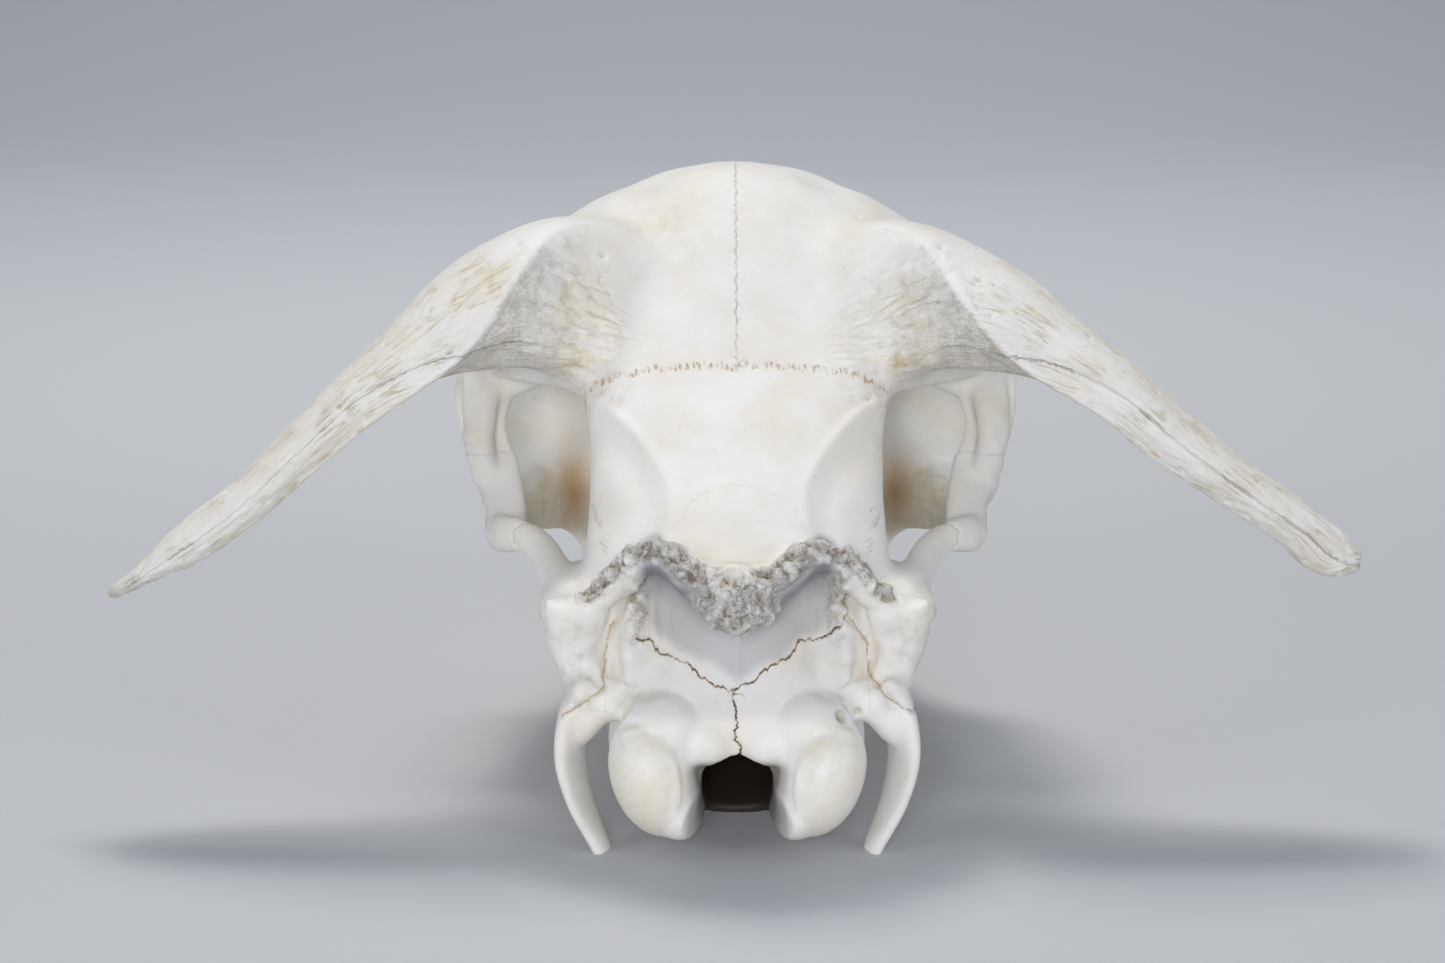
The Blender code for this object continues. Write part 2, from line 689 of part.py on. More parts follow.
def push(obj, spots):
    """Raises or sinks the surface round each spot: (x, y, z, radius, height), paired left and right."""
    mesh = obj.data
    count = len(mesh.vertices)
    places = np.empty(count * 3, np.float32)
    mesh.vertices.foreach_get("co", places)
    places = places.reshape(-1, 3) / MM
    normals = np.empty(count * 3, np.float32)
    mesh.vertex_normals.foreach_get("vector", normals)
    normals = normals.reshape(-1, 3)
    lift = np.zeros(count)
    for x, y, z, radius, height in spots:
        for side in (-1, 1) if x else (1,):
            away = ((places - (x * side, y, z)) ** 2).sum(1)
            lift += height * np.exp(-away / (radius * radius))
    places += normals * lift[:, None]
    mesh.vertices.foreach_set("co", (places * MM).astype(np.float32).ravel())
    mesh.update()


def relax(obj, blends):
    """Evens the surface round each spot by moving its points toward their neighbours."""
    mesh = obj.data
    count = len(mesh.vertices)
    places = np.empty(count * 3, np.float32)
    mesh.vertices.foreach_get("co", places)
    places = places.reshape(-1, 3).astype(float) / MM
    edges = np.empty(len(mesh.edges) * 2, np.int32)
    mesh.edges.foreach_get("vertices", edges)
    a, b = edges.reshape(-1, 2).T
    valence = np.maximum(np.bincount(a, minlength=count) + np.bincount(b, minlength=count), 1)
    for x, y, z, reach, steps in blends:
        share = np.zeros(count)
        for side in (-1, 1) if x else (1,):
            away = ((places - (x * side, y, z)) ** 2).sum(1) / (reach * reach)
            share = np.maximum(share, np.exp(-(away**2)))
        for _ in range(steps):
            for k in range(3):
                column = places[:, k]
                near = np.bincount(a, column[b], count) + np.bincount(b, column[a], count)
                places[:, k] = column + 0.6 * share * (near / valence - column)
    mesh.vertices.foreach_set("co", (places * MM).astype(np.float32).ravel())
    mesh.update()


def saw(name, line, along, low, high, home):
    """A thin cut: a line in the plane across one axis, carried along that axis between two limits.

    Each limit is one number, or a number for each point of the line.
    """
    points = np.array(line, float)
    directions = np.gradient(points, axis=0)
    directions /= np.linalg.norm(directions, axis=1)[:, None]
    sides = np.stack([-directions[:, 1], directions[:, 0]], 1)
    for k in range(1, len(points) - 1):
        before = points[k] - points[k - 1]
        after = points[k + 1] - points[k]
        before = before / np.linalg.norm(before)
        after = after / np.linalg.norm(after)
        corner = before + after
        corner /= np.linalg.norm(corner)
        normal = np.array([-corner[1], corner[0]])
        sides[k] = normal / max(0.35, normal @ np.array([-before[1], before[0]]))
    lows = np.broadcast_to(np.array(low, float), len(points))
    highs = np.broadcast_to(np.array(high, float), len(points))
    rings = []
    for point, side, near, far in zip(points, sides * SAW_KERF / 2, lows, highs):
        ring = []
        for spot, level in ((point - side, near), (point + side, near), (point + side, far), (point - side, far)):
            place = list(spot)
            place.insert(along, level)
            ring.append(place)
        rings.append(ring)
    skin(name, rings, home)


def horn_seam(side, home):
    """A thin round shell that parts a horn core from the forehead."""
    aim = Vector((HORN_SEAM_AIM[0] * -side, HORN_SEAM_AIM[1], HORN_SEAM_AIM[2])).normalized()
    across = aim.orthogonal().normalized()
    third = aim.cross(across)
    spread = [math.radians(HORN_SEAM_SPREAD) * k / 12 for k in range(13)]
    spread[0] = spread[1] * 0.1
    layers = [(HORN_SEAM_RADIUS - SAW_KERF / 2, a) for a in spread]
    layers += [(HORN_SEAM_RADIUS + SAW_KERF / 2, a) for a in reversed(spread)]
    rings = []
    for radius, a in layers:
        ring = []
        for k in range(40):
            t = 2 * math.pi * k / 40
            way = aim * math.cos(a) + (across * math.cos(t) + third * math.sin(t)) * math.sin(a)
            ring.append(Vector(HORN_SEAM_CENTRE) + way * radius)
        rings.append(ring)
    skin(f"horn_seam_{side}", rings, home)


def build_cuts(home):
    """Every saw cut that parts one bone from the next."""
    for n, (line, low, high) in enumerate(ALONG_X):
        saw(f"cut_x_{n}", line, 0, low, high, home)
    for n, (line, low, high) in enumerate(ALONG_X_PAIRS):
        saw(f"cut_x_left_{n}", line, 0, -high, -low, home)
        saw(f"cut_x_right_{n}", line, 0, low, high, home)
    for n, (line, low, high) in enumerate(ALONG_Y_PAIRS):
        saw(f"cut_y_right_{n}", line, 1, low, high, home)
        saw(f"cut_y_left_{n}", [(-x, z) for x, z in line], 1, low, high, home)
    for n, (line, low, high) in enumerate(ALONG_Z_PAIRS):
        saw(f"cut_z_right_{n}", line, 2, low, high, home)
        saw(f"cut_z_left_{n}", [(-x, y) for x, y in line], 2, low, high, home)
    for n, (line, low, high) in enumerate(ALONG_Z_MIDDLE):
        saw(f"cut_middle_{n}", line, 2, low, high, home)
    for side in (-1, 1):
        horn_seam(side, home)


def floor_block(home):
    """A block whose top is the floor, to flatten what would pass through it."""
    bm = bmesh.new()
    bmesh.ops.create_cube(bm, size=1.0)
    size = Matrix.Diagonal(Vector((0.4, 0.5, 0.04))).to_4x4()
    bmesh.ops.transform(bm, matrix=Matrix.Translation((0, 0.1, -0.02)) @ size, verts=bm.verts)
    mesh = bpy.data.meshes.new("floor_block")
    bm.to_mesh(mesh)
    bm.free()
    home.objects.link(bpy.data.objects.new("floor_block", mesh))


def islands(bm):
    """The connected parts of a mesh, as lists of faces."""
    bm.faces.ensure_lookup_table()
    seen = set()
    parts = []
    for start in bm.faces:
        if start.index in seen:
            continue
        seen.add(start.index)
        part, queue = [start], [start]
        while queue:
            face = queue.pop()
            for edge in face.edges:
                for other in edge.link_faces:
                    if other.index not in seen:
                        seen.add(other.index)
                        part.append(other)
                        queue.append(other)
        parts.append(part)
    return parts


def volume_and_centre(faces):
    """Volume in cubic millimetres and centroid of a closed part."""
    total, centre = 0.0, Vector()
    for face in faces:
        spots = [v.co / MM for v in face.verts]
        for k in range(1, len(spots) - 1):
            share = spots[0].dot(spots[k].cross(spots[k + 1])) / 6
            total += share
            centre += share * (spots[0] + spots[k] + spots[k + 1]) / 4
    return total, centre / total if total else centre


def part_bones(whole, home):
    """Splits the cut skull into its bones and names each by where it lies."""
    bm = bmesh.new()
    bm.from_mesh(whole.data)
    bm.faces.index_update()
    found = []
    for faces in islands(bm):
        volume, centre = volume_and_centre(faces)
        if volume > SMALLEST_BONE:
            found.append((faces, centre))
    bones = {}
    for name, (x, y, z) in BONES:
        for side, ending in ((-1, "_left"), (1, "_right")) if x else ((1, ""),):
            spot = Vector((x * side, y, z))
            faces, _ = min(found, key=lambda item: (item[1] - spot).length)
            bones[name + ending] = bone_object(name + ending, faces, home)
    bm.free()
    bpy.data.objects.remove(whole, do_unlink=True)
    return bones


def bone_object(name, faces, home):
    """A named object made of some faces of a larger mesh."""
    bm = bmesh.new()
    made = {}
    for face in faces:
        for vert in face.verts:
            if vert not in made:
                made[vert] = bm.verts.new(vert.co)
    for face in faces:
        bm.faces.new([made[vert] for vert in face.verts])
    mesh = bpy.data.meshes.new(name)
    bm.to_mesh(mesh)
    bm.free()
    obj = bpy.data.objects.new(name, mesh)
    home.objects.link(obj)
    return obj


def tooth(name, start, length, buccal, width, level, side, home):
    """One cheek tooth, from its sunk root to its biting face."""
    rings = []
    for z, share in ((ALVEOLAR_HEIGHT + 4, 0.9), (8, 1.0), (2.5, 1.0), (level, 0.94)):
        ring = []
        for k in range(14):
            a = 2 * math.pi * k / 14
            across = power(math.cos(a), 2 / 3.2) * width / 2 * share
            lengthwise = power(math.sin(a), 2 / 3.2) * (length / 2 + TOOTH_OVERLAP) * (0.96 + 0.04 * share)
            ring.append((side * (buccal - width / 2 + across - 0.06 * z), start + length / 2 + lengthwise, z))
        rings.append(ring)
    skin(name, rings, home)


def tooth_row(side, home):
    """The six cheek teeth of one side."""
    start = TOOTH_ROW_REAR
    for n, (length, buccal, width, level) in enumerate(CHEEK_TEETH):
        tooth(f"tooth_{n}", start, length, buccal, width, level, side, home)
        start += length


def join_teeth(bone, side, name):
    """Fuses one side's teeth to its jaw."""
    teeth = collection(name)
    tooth_row(side, teeth)
    modifier = bone.modifiers.new("teeth", "BOOLEAN")
    modifier.operation = "UNION"
    modifier.solver = "MANIFOLD"
    modifier.operand_type = "COLLECTION"
    modifier.collection = teeth
    apply_modifiers(bone)
    drop(teeth)


def drop(group):
    """Removes a collection and all that is in it."""
    for obj in list(group.objects):
        bpy.data.objects.remove(obj, do_unlink=True)
    bpy.data.collections.remove(group)


def finish_bone(obj):
    """Triangulates a bone and gives it its material."""
    bm = bmesh.new()
    bm.from_mesh(obj.data)
    bmesh.ops.triangulate(bm, faces=bm.faces)
    bm.to_mesh(obj.data)
    bm.free()
    obj.data.shade_smooth()
    material = bpy.data.materials.new(obj.name + "_bone")
    material.use_nodes = True
    shader = material.node_tree.nodes["Principled BSDF"]
    shader.inputs["Base Color"].default_value = BONE_COLOUR
    shader.inputs["Roughness"].default_value = 0.6
    obj.data.materials.clear()
    obj.data.materials.append(material)


def centre_on_floor(bones):
    """Moves all bones alike, so the origin is under the middle of the skull."""
    corners = [Vector(c) for obj in bones.values() for c in obj.bound_box]
    low = [min(c[k] for c in corners) for k in range(3)]
    high = [max(c[k] for c in corners) for k in range(3)]
    shift = Vector((-(low[0] + high[0]) / 2, -(low[1] + high[1]) / 2, -low[2]))
    for obj in bones.values():
        obj.data.transform(Matrix.Translation(shift))
    return shift


def thin_out(obj, triangles):
    """Brings the triangle count down, keeping the shape."""
    modifier = obj.modifiers.new("triangles", "TRIANGULATE")
    modifier = obj.modifiers.new("thin", "DECIMATE")
    modifier.ratio = triangles / (2 * len(obj.data.polygons))
    apply_modifiers(obj)


def main():
    clear_scene()
    skull = collection("goat_skull")
    stock = collection("stock")
    hollows = collection("hollows")
    cuts = collection("cuts")
    build_bones(stock)
    build_hollows(hollows)
    build_cuts(cuts)
    floor_block(cuts)
    whole = fuse(stock, "cranium", skull)
    carve(whole, hollows)
    remesh(whole, FUSE_VOXEL)
    soften(whole)
    push(whole, RELIEF)
    relax(whole, BLENDS)
    thin_out(whole, BONE_TRIANGLES)
    carve(whole, cuts)
    for group in (stock, hollows, cuts):
        drop(group)
    bones = part_bones(whole, skull)
    join_teeth(bones["maxilla_left"], -1, "teeth_left")
    join_teeth(bones["maxilla_right"], 1, "teeth_right")
    for obj in bones.values():
        finish_bone(obj)
    centre_on_floor(bones)


if __name__ == "__main__":
    main()
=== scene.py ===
"""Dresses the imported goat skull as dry, whitened bone, with every bone sculpted finer than its solid.

Sizes are in millimetres in the skull's own frame: x to the animal's right, y forward from the rear of the
occipital condyles, z up from the floor. ROW_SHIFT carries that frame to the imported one.
"""

import json
import logging
import math
from dataclasses import dataclass, field, replace
from enum import Enum

import bmesh
import bpy
import numpy as np
from mathutils import Matrix, Vector

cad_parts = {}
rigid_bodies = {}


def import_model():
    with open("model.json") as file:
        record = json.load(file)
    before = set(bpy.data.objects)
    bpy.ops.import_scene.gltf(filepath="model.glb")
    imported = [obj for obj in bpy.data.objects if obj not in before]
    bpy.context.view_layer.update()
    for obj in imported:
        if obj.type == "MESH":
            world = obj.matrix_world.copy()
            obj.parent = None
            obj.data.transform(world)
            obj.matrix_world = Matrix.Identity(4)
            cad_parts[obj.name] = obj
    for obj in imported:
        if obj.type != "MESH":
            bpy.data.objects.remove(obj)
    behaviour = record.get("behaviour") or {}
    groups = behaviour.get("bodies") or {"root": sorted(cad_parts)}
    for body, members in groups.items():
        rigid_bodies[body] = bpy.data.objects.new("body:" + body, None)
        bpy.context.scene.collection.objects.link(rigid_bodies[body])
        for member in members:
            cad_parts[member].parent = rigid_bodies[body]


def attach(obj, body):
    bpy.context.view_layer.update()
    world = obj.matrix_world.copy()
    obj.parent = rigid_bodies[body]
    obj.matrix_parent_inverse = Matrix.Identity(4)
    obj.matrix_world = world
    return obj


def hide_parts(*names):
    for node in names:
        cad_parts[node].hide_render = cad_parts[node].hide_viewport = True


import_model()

Row = tuple[float, ...]
Table = tuple[Row, ...]
Socket = bpy.types.NodeSocket
Value = Socket | float | Row

log = logging.getLogger("goat_skull")

MM = 0.001
ROW_SHIFT = (0.355, -104.061, 0.0)
FUSE_VOXEL = 0.5
SAW_KERF = 0.03
BELL_EDGE = 2.6
PIT_SEARCH = 9
FAR_FROM_SEAM = 9.0


class Side(Enum):
    """The two halves of the skull, by the sign of x."""

    LEFT = -1
    RIGHT = 1

    @property
    def ending(self) -> str:
        """The word that a paired piece's name ends in."""
        return self.name.lower()


class Across(Enum):
    """The axis that a saw cut or a suture's sheet runs along."""

    X = 0
    Y = 1
    Z = 2


def resample(stations: Table, count: int) -> np.ndarray:
    """Runs a smooth curve through the rows of a table.

    Args:
        stations: Rows whose first three numbers give the spacing.
        count: How many rows to make.

    Returns:
        The new rows, evenly spaced by chord.
    """
    rows = np.array(stations, float)
    step = np.linalg.norm(np.diff(rows[:, : min(3, rows.shape[1])], axis=0), axis=1)
    knots = np.concatenate([[0], np.cumsum(step)])
    slopes = np.gradient(rows, knots, axis=0)
    at = np.linspace(0, knots[-1], count)
    left = np.clip(np.searchsorted(knots, at, side="right") - 1, 0, len(rows) - 2)
    span = (knots[left + 1] - knots[left])[:, None]
    t = ((at - knots[left]) / span[:, 0])[:, None]
    return (
        (2 * t**3 - 3 * t**2 + 1) * rows[left]
        + (t**3 - 2 * t**2 + t) * span * slopes[left]
        + (3 * t**2 - 2 * t**3) * rows[left + 1]
        + (t**3 - t**2) * span * slopes[left + 1]
    )


def power(value: float, exponent: float) -> float:
    """Signed power, for rounded-square outlines."""
    return math.copysign(abs(value) ** exponent, value)


def mirrored(stations: Table) -> Table:
    """The same table for the right side."""
    return tuple((-row[0],) + tuple(row[1:]) for row in stations)


def scatter(cell: np.ndarray, seed: int) -> np.ndarray:
    """An even value from 0 to 1 for each whole-number cell.

    Args:
        cell: Whole numbers, three a row.
        seed: Chooses one of many patterns.

    Returns:
        One value a row.
    """
    mixed = cell[:, 0] * 73856093 ^ cell[:, 1] * 19349663 ^ cell[:, 2] * 83492791 ^ (seed + 1) * 2654435761
    mixed = (mixed ^ (mixed >> 13)) * 1274126177 & 0x7FFFFFFF
    return ((mixed ^ (mixed >> 16)) & 0xFFFF) / 65535


def lattice_noise(points: np.ndarray, seed: int = 0) -> np.ndarray:
    """Smooth noise, one bump a cell or so.

    Args:
        points: Places measured in cells, three a row.
        seed: Chooses one of many patterns.

    Returns:
        One value a row, from -1 to 1.
    """
    cell = np.floor(points).astype(np.int64)
    part = points - cell
    part = part * part * (3 - 2 * part)
    total = np.zeros(len(points))
    for corner in range(8):
        offset = np.array([(corner >> k) & 1 for k in range(3)])
        weight = np.prod(np.where(offset, part, 1 - part), axis=1)
        total += weight * scatter(cell + offset, seed)
    return total * 2 - 1


def rough_noise(points: np.ndarray, octaves: int = 3, seed: int = 0) -> np.ndarray:
    """Noise with finer noise on it, each octave half the size and half the height.

    Args:
        points: Places measured in cells, three a row.
        octaves: How many layers of noise.
        seed: Chooses one of many patterns.

    Returns:
        One value a row, within about 2 of zero.
    """
    total = np.zeros(len(points))
    for octave in range(octaves):
        total += lattice_noise(points * 2**octave + 17.3 * octave, seed + octave) / 2**octave
    return total


def bell(distance: np.ndarray, reach: float) -> np.ndarray:
    """A soft bump: 1 at no distance, about a third at the reach."""
    return np.exp(-((distance / reach) ** 2))


def ramp(value: np.ndarray, low: float, high: float) -> np.ndarray:
    """A smooth step from 0 at low to 1 at high, which may be the smaller."""
    t = np.clip((value - low) / (high - low), 0, 1)
    return t * t * (3 - 2 * t)


def spot(places: np.ndarray, centre: Row, reach: float, stretch: Row = (1, 1, 1)) -> np.ndarray:
    """A soft bump round a centre, drawn out along the axes by the stretch."""
    return bell(np.linalg.norm((places - centre) / stretch, axis=1), reach)


def folded(places: np.ndarray) -> np.ndarray:
    """The places with the left half of the skull laid over the right one."""
    return np.stack([np.abs(places[:, 0]), places[:, 1], places[:, 2]], 1)


def halves(paired: bool) -> tuple[int, ...]:
    """The signs of x to work on: both for what is paired."""
    return (-1, 1) if paired else (1,)


def creases(points: np.ndarray, seed: int, sharpness: int) -> np.ndarray:
    """Noise that rises to 1 along thin winding lines: the sharper, the thinner."""
    return (1 - np.abs(lattice_noise(points, seed))) ** sharpness


def near_path(places: np.ndarray, path: np.ndarray) -> tuple[np.ndarray, np.ndarray]:
    """How far places are from a bent line.

    Args:
        places: Points, three a row.
        path: The line's own points.

    Returns:
        The distance of each place, and the length along the line to its foot.
    """
    best = np.full(len(places), 1e9)
    run = np.zeros(len(places))
    start = 0.0
    for a, b in zip(path, path[1:]):
        along = b - a
        length = np.linalg.norm(along)
        t = np.clip((places - a) @ along / length**2, 0, 1)
        away = np.linalg.norm(places - a - t[:, None] * along, axis=1)
        closer = away < best
        best = np.where(closer, away, best)
        run = np.where(closer, start + t * length, run)
        start += length
    return best, run


def read_ints(items: bpy.types.bpy_prop_collection, name: str, width: int = 1) -> np.ndarray:
    """Reads whole numbers of a mesh's collection.

    Args:
        items: The mesh's edges, corners or faces.
        name: What to read of each.
        width: How many numbers each has.

    Returns:
        The numbers, so many a row.
    """
    flat = np.empty(len(items) * width, np.int32)
    items.foreach_get(name, flat)
    return flat.reshape(-1, width) if width > 1 else flat


def wrap(rings: list) -> bmesh.types.BMesh:
    """Closes a row of rings into one solid, with a flat cap at each end.

    Args:
        rings: Rings of the same number of points, in millimetres.

    Returns:
        The mesh in the making.
    """
    bm = bmesh.new()
    loops = [[bm.verts.new(Vector(p) * MM) for p in ring] for ring in rings]
    sides = len(loops[0])
    for near, far in zip(loops, loops[1:]):
        for k in range(sides):
            n = (k + 1) % sides
            bm.faces.new((near[k], near[n], far[n], far[k]))
    bm.faces.new(list(reversed(loops[0])))
    bm.faces.new(loops[-1])
    bmesh.ops.recalc_face_normals(bm, faces=bm.faces)
    return bm


def settle(name: str, bm: bmesh.types.BMesh, group: bpy.types.Collection | None = None) -> bpy.types.Object:
    """Turns a mesh in the making into an object.

    Args:
        name: The new object's name.
        bm: The mesh in the making, which is used up.
        group: The collection that it goes into, or none for the scene's own.

    Returns:
        The new object.
    """
    mesh = bpy.data.meshes.new(name)
    bm.to_mesh(mesh)
    bm.free()
    obj = bpy.data.objects.new(name, mesh)
    (group or bpy.context.scene.collection).objects.link(obj)
    return obj


@dataclass(frozen=True)
class Knob:
    """A sphere, stretched and then turned by degrees about x, y and z, alone or with a mirror image."""

    name: str
    centre: Row
    radii: Row
    turn: Row = (0, 0, 0)
    paired: bool = True


@dataclass(frozen=True)
class Cut:
    """A saw cut: a line in the plane across one axis, carried along that axis between two limits.

    Each limit is one number or one for each point of the line. A paired cut has a mirror image.
    """

    line: tuple[tuple[float, float], ...]
    across: Across
    low: float | Row
    high: float | Row
    paired: bool = False


class Stock:
    """A collection of closed pieces, to be fused or to cut with."""

    def __init__(self, name: str) -> None:
        """Makes the empty collection."""
        self.group = bpy.data.collections.new(name)
        bpy.context.scene.collection.children.link(self.group)

    def skin(self, name: str, rings: list) -> None:
        """Closes a row of rings, in millimetres, into one solid."""
        settle(name, wrap(rings), self.group)

    def sweep(
        self,
        name: str,
        stations: Table,
        facing: Row,
        sides: int = 24,
        apart: float = 1.2,
        square: float = 2.0,
    ) -> None:
        """Sweeps a flattened round section along a table of stations.

        Args:
            name: The new object's name.
            stations: Rows of x, y, z, half width and half thickness.
            facing: The way that the width lies.
            sides: Points round the section.
            apart: Millimetres from ring to ring.
            square: The outline's exponent: 2 for an oval, more for a squarer one.
        """
        rows = np.array(stations, float)
        length = np.linalg.norm(np.diff(rows[:, :3], axis=0), axis=1).sum()
        path = resample(stations, max(4, int(length / apart)))
        rings = []
        for row, along in zip(path, np.gradient(path[:, :3], axis=0)):
            along = Vector(along).normalized()
            wide = Vector(facing)
            wide = (wide - along * wide.dot(along)).normalized()
            thick = along.cross(wide)
            ring = []
            for k in range(sides):
                a = 2 * math.pi * k / sides
                across = row[3] * power(math.cos(a), 2 / square)
                over = row[4] * power(math.sin(a), 2 / square)
                ring.append(Vector(row[:3]) + wide * across + thick * over)
            rings.append(ring)
        self.skin(name, rings)

    def sweep_pair(self, name: str, stations: Table, facing: Row, **options) -> None:
        """A sweep on the left side and its mirror image on the right."""
        self.sweep(name + "_left", stations, facing, **options)
        self.sweep(name + "_right", mirrored(stations), (-facing[0], facing[1], facing[2]), **options)

    def ellipsoid(self, name: str, centre: Row, radii: Row, turn: Row = (0, 0, 0)) -> None:
        """Adds a sphere, stretched and turned by degrees about x, y and z.

        Args:
            name: The new object's name.
            centre: Its middle.
            radii: Its half sizes before it is turned.
            turn: Degrees about each axis, in turn.
        """
        bm = bmesh.new()
        bmesh.ops.create_uvsphere(bm, u_segments=40, v_segments=26, radius=1.0)
        shape = Matrix.Diagonal(Vector(radii) * MM).to_4x4()
        for degrees, axis in zip(turn, "XYZ"):
            shape = Matrix.Rotation(math.radians(degrees), 4, axis) @ shape
        bmesh.ops.transform(bm, matrix=Matrix.Translation(Vector(centre) * MM) @ shape, verts=bm.verts)
        settle(name, bm, self.group)

    def knobs(self, knobs: tuple[Knob, ...]) -> None:
        """Adds knobs, and the mirror image of each paired one.

        Args:
            knobs: The knobs, the paired ones as they lie on the left side.
        """
        for knob in knobs:
            if not knob.paired:
                self.ellipsoid(knob.name, knob.centre, knob.radii, knob.turn)
                continue
            x, y, z = knob.centre
            a, b, c = knob.turn
            self.ellipsoid(knob.name + "_left", knob.centre, knob.radii, knob.turn)
            self.ellipsoid(knob.name + "_right", (-x, y, z), knob.radii, (a, -b, -c))

    def saw(self, name: str, cut: Cut) -> None:
        """Adds the thin cutter of a cut, and its mirror image for a paired one.

        Args:
            name: The cutter's name.
            cut: The cut.
        """
        if not cut.paired:
            self._blade(name, cut)
            return
        self._blade(name + "_right", cut)
        if cut.across is Across.X:
            self._blade(name + "_left", replace(cut, low=-cut.high, high=-cut.low))
        else:
            self._blade(name + "_left", replace(cut, line=tuple((-x, other) for x, other in cut.line)))

    def _blade(self, name: str, cut: Cut) -> None:
        """One thin cutter, as thick as SAW_KERF.

        Args:
            name: Its name.
            cut: The cut that it makes.
        """
        points = np.array(cut.line, float)
        directions = np.gradient(points, axis=0)
        directions /= np.linalg.norm(directions, axis=1)[:, None]
        sides = np.stack([-directions[:, 1], directions[:, 0]], 1)
        lows = np.broadcast_to(np.array(cut.low, float), len(points))
        highs = np.broadcast_to(np.array(cut.high, float), len(points))
        rings = []
        for point, side, near, far in zip(points, sides * SAW_KERF / 2, lows, highs):
            ring = []
            left, right = point - side, point + side
            for corner, level in ((left, near), (right, near), (right, far), (left, far)):
                place = list(corner)
                place.insert(cut.across.value, level)
                ring.append(place)
            rings.append(ring)
        self.skin(name, rings)

    def drop(self) -> None:
        """Removes the collection and all that is in it."""
        for obj in list(self.group.objects):
            bpy.data.objects.remove(obj, do_unlink=True)
        bpy.data.collections.remove(self.group)


class Surface:
    """The points of a mesh in millimetres, and the ways to move them."""

    def __init__(self, obj: bpy.types.Object) -> None:
        """Reads the object's points.

        Args:
            obj: The object whose mesh is worked on.
        """
        self.mesh = obj.data
        self.count = len(self.mesh.vertices)
        flat = np.empty(self.count * 3, np.float32)
        self.mesh.vertices.foreach_get("co", flat)
        self.places = flat.reshape(-1, 3).astype(float) / MM
        self.read_normals()

    def read_normals(self) -> None:
        """Takes the way that each point faces."""
        flat = np.empty(self.count * 3, np.float32)
        self.mesh.vertex_normals.foreach_get("vector", flat)
        self.normals = flat.reshape(-1, 3).astype(float)

    def write(self) -> None:
        """Puts the points back into the mesh and reads the new normals."""
        self.mesh.vertices.foreach_set("co", (self.places * MM).astype(np.float32).ravel())
        self.mesh.update()
        self.read_normals()

    def box(self, low: Row, high: Row) -> np.ndarray:
        """The numbers of the points between two corners."""
        inside = ((self.places > low) & (self.places < high)).all(1)
        return np.flatnonzero(inside)

    def lift(self, index: np.ndarray, amount: np.ndarray) -> None:
        """Moves some points along their normals by so many millimetres."""
        self.places[index] += self.normals[index] * amount[:, None]

    def push(self, spots: Table) -> None:
        """Raises or sinks the surface round each spot: (x, y, z, radius, height), paired left and right.

        Args:
            spots: Rows of x, y, z, radius and height.
        """
        for x, y, z, radius, height in spots:
            for side in halves(x != 0):
                centre = np.array((x * side, y, z))
                index = self.box(tuple(centre - BELL_EDGE * radius), tuple(centre + BELL_EDGE * radius))
                self.lift(index, height * spot(self.places[index], centre, radius))

    def pit(self, mouth: Row, radius: float, depth: float) -> None:
        """Sinks a small pit into the surface.

        Args:
            mouth: Where it is, to within PIT_SEARCH of the surface.
            radius: Half its breadth.
            depth: How deep it is.
        """
        index = self.box(tuple(c - PIT_SEARCH for c in mouth), tuple(c + PIT_SEARCH for c in mouth))
        if not len(index):
            return
        nearest = index[((self.places[index] - mouth) ** 2).sum(1).argmin()]
        sunk = depth * spot(self.places[index], self.places[nearest], radius)
        self.places[index] -= self.normals[nearest] * sunk[:, None]

    def ridge(self, stations: Table, reach: float, height: float, sides: tuple[int, ...] = (-1, 1)) -> None:
        """Raises or sinks the surface along a bent line, once or on both sides.

        Args:
            stations: Points of the line.
            reach: Half its breadth.
            height: How far it stands out, or sinks where negative.
            sides: Signs of x to work on.
        """
        for side in sides:
            path = resample(stations, 24)[:, :3] * (side, 1, 1)
            index = self.box(tuple(path.min(0) - 3 * reach), tuple(path.max(0) + 3 * reach))
            away, run = near_path(self.places[index], path)
            length = np.linalg.norm(np.diff(path, axis=0), axis=1).sum()
            ends = ramp(run, -0.02 * length, 0.12 * length) * ramp(run, 1.02 * length, 0.88 * length)
            self.lift(index, height * bell(away, reach) * ends)

    def relax(self, blends: Table) -> None:
        """Evens the surface round each spot: (x, y, z, reach, steps), paired left and right.

        Args:
            blends: Rows of x, y, z, reach and steps.
        """
        a, b = read_ints(self.mesh.edges, "vertices", 2).T
        for x, y, z, reach, steps in blends:
            share = np.zeros(self.count)
            for side in halves(x != 0):
                away = np.linalg.norm(self.places - (x * side, y, z), axis=1) / reach
                share = np.maximum(share, np.exp(-(away**4)))
            chosen = (share[a] > 0.01) | (share[b] > 0.01)
            points, local = np.unique(np.concatenate([a[chosen], b[chosen]]), return_inverse=True)
            p, q = local.reshape(2, -1)
            count = len(points)
            valence = np.maximum(np.bincount(p, minlength=count) + np.bincount(q, minlength=count), 1)
            weight = 0.6 * share[points] * (share[points] > 0.01)
            rounds = int(steps / FUSE_VOXEL**2)
            for k in range(3):
                column = self.places[points, k]
                for _ in range(rounds):
                    near = np.bincount(p, column[q], count) + np.bincount(q, column[p], count)
                    column = column + weight * (near / valence - column)
                self.places[points, k] = column
        self.write()

    def crevices(self, rounds: int = 5) -> np.ndarray:
        """How sunk each point lies among its neighbours: above 0 in a crevice, below 0 on a ridge.

        Args:
            rounds: How far it looks, in edges.

        Returns:
            Millimetres, one value a point.
        """
        a, b = read_ints(self.mesh.edges, "vertices", 2).T
        valence = np.maximum(np.bincount(a, minlength=self.count) + np.bincount(b, minlength=self.count), 1)

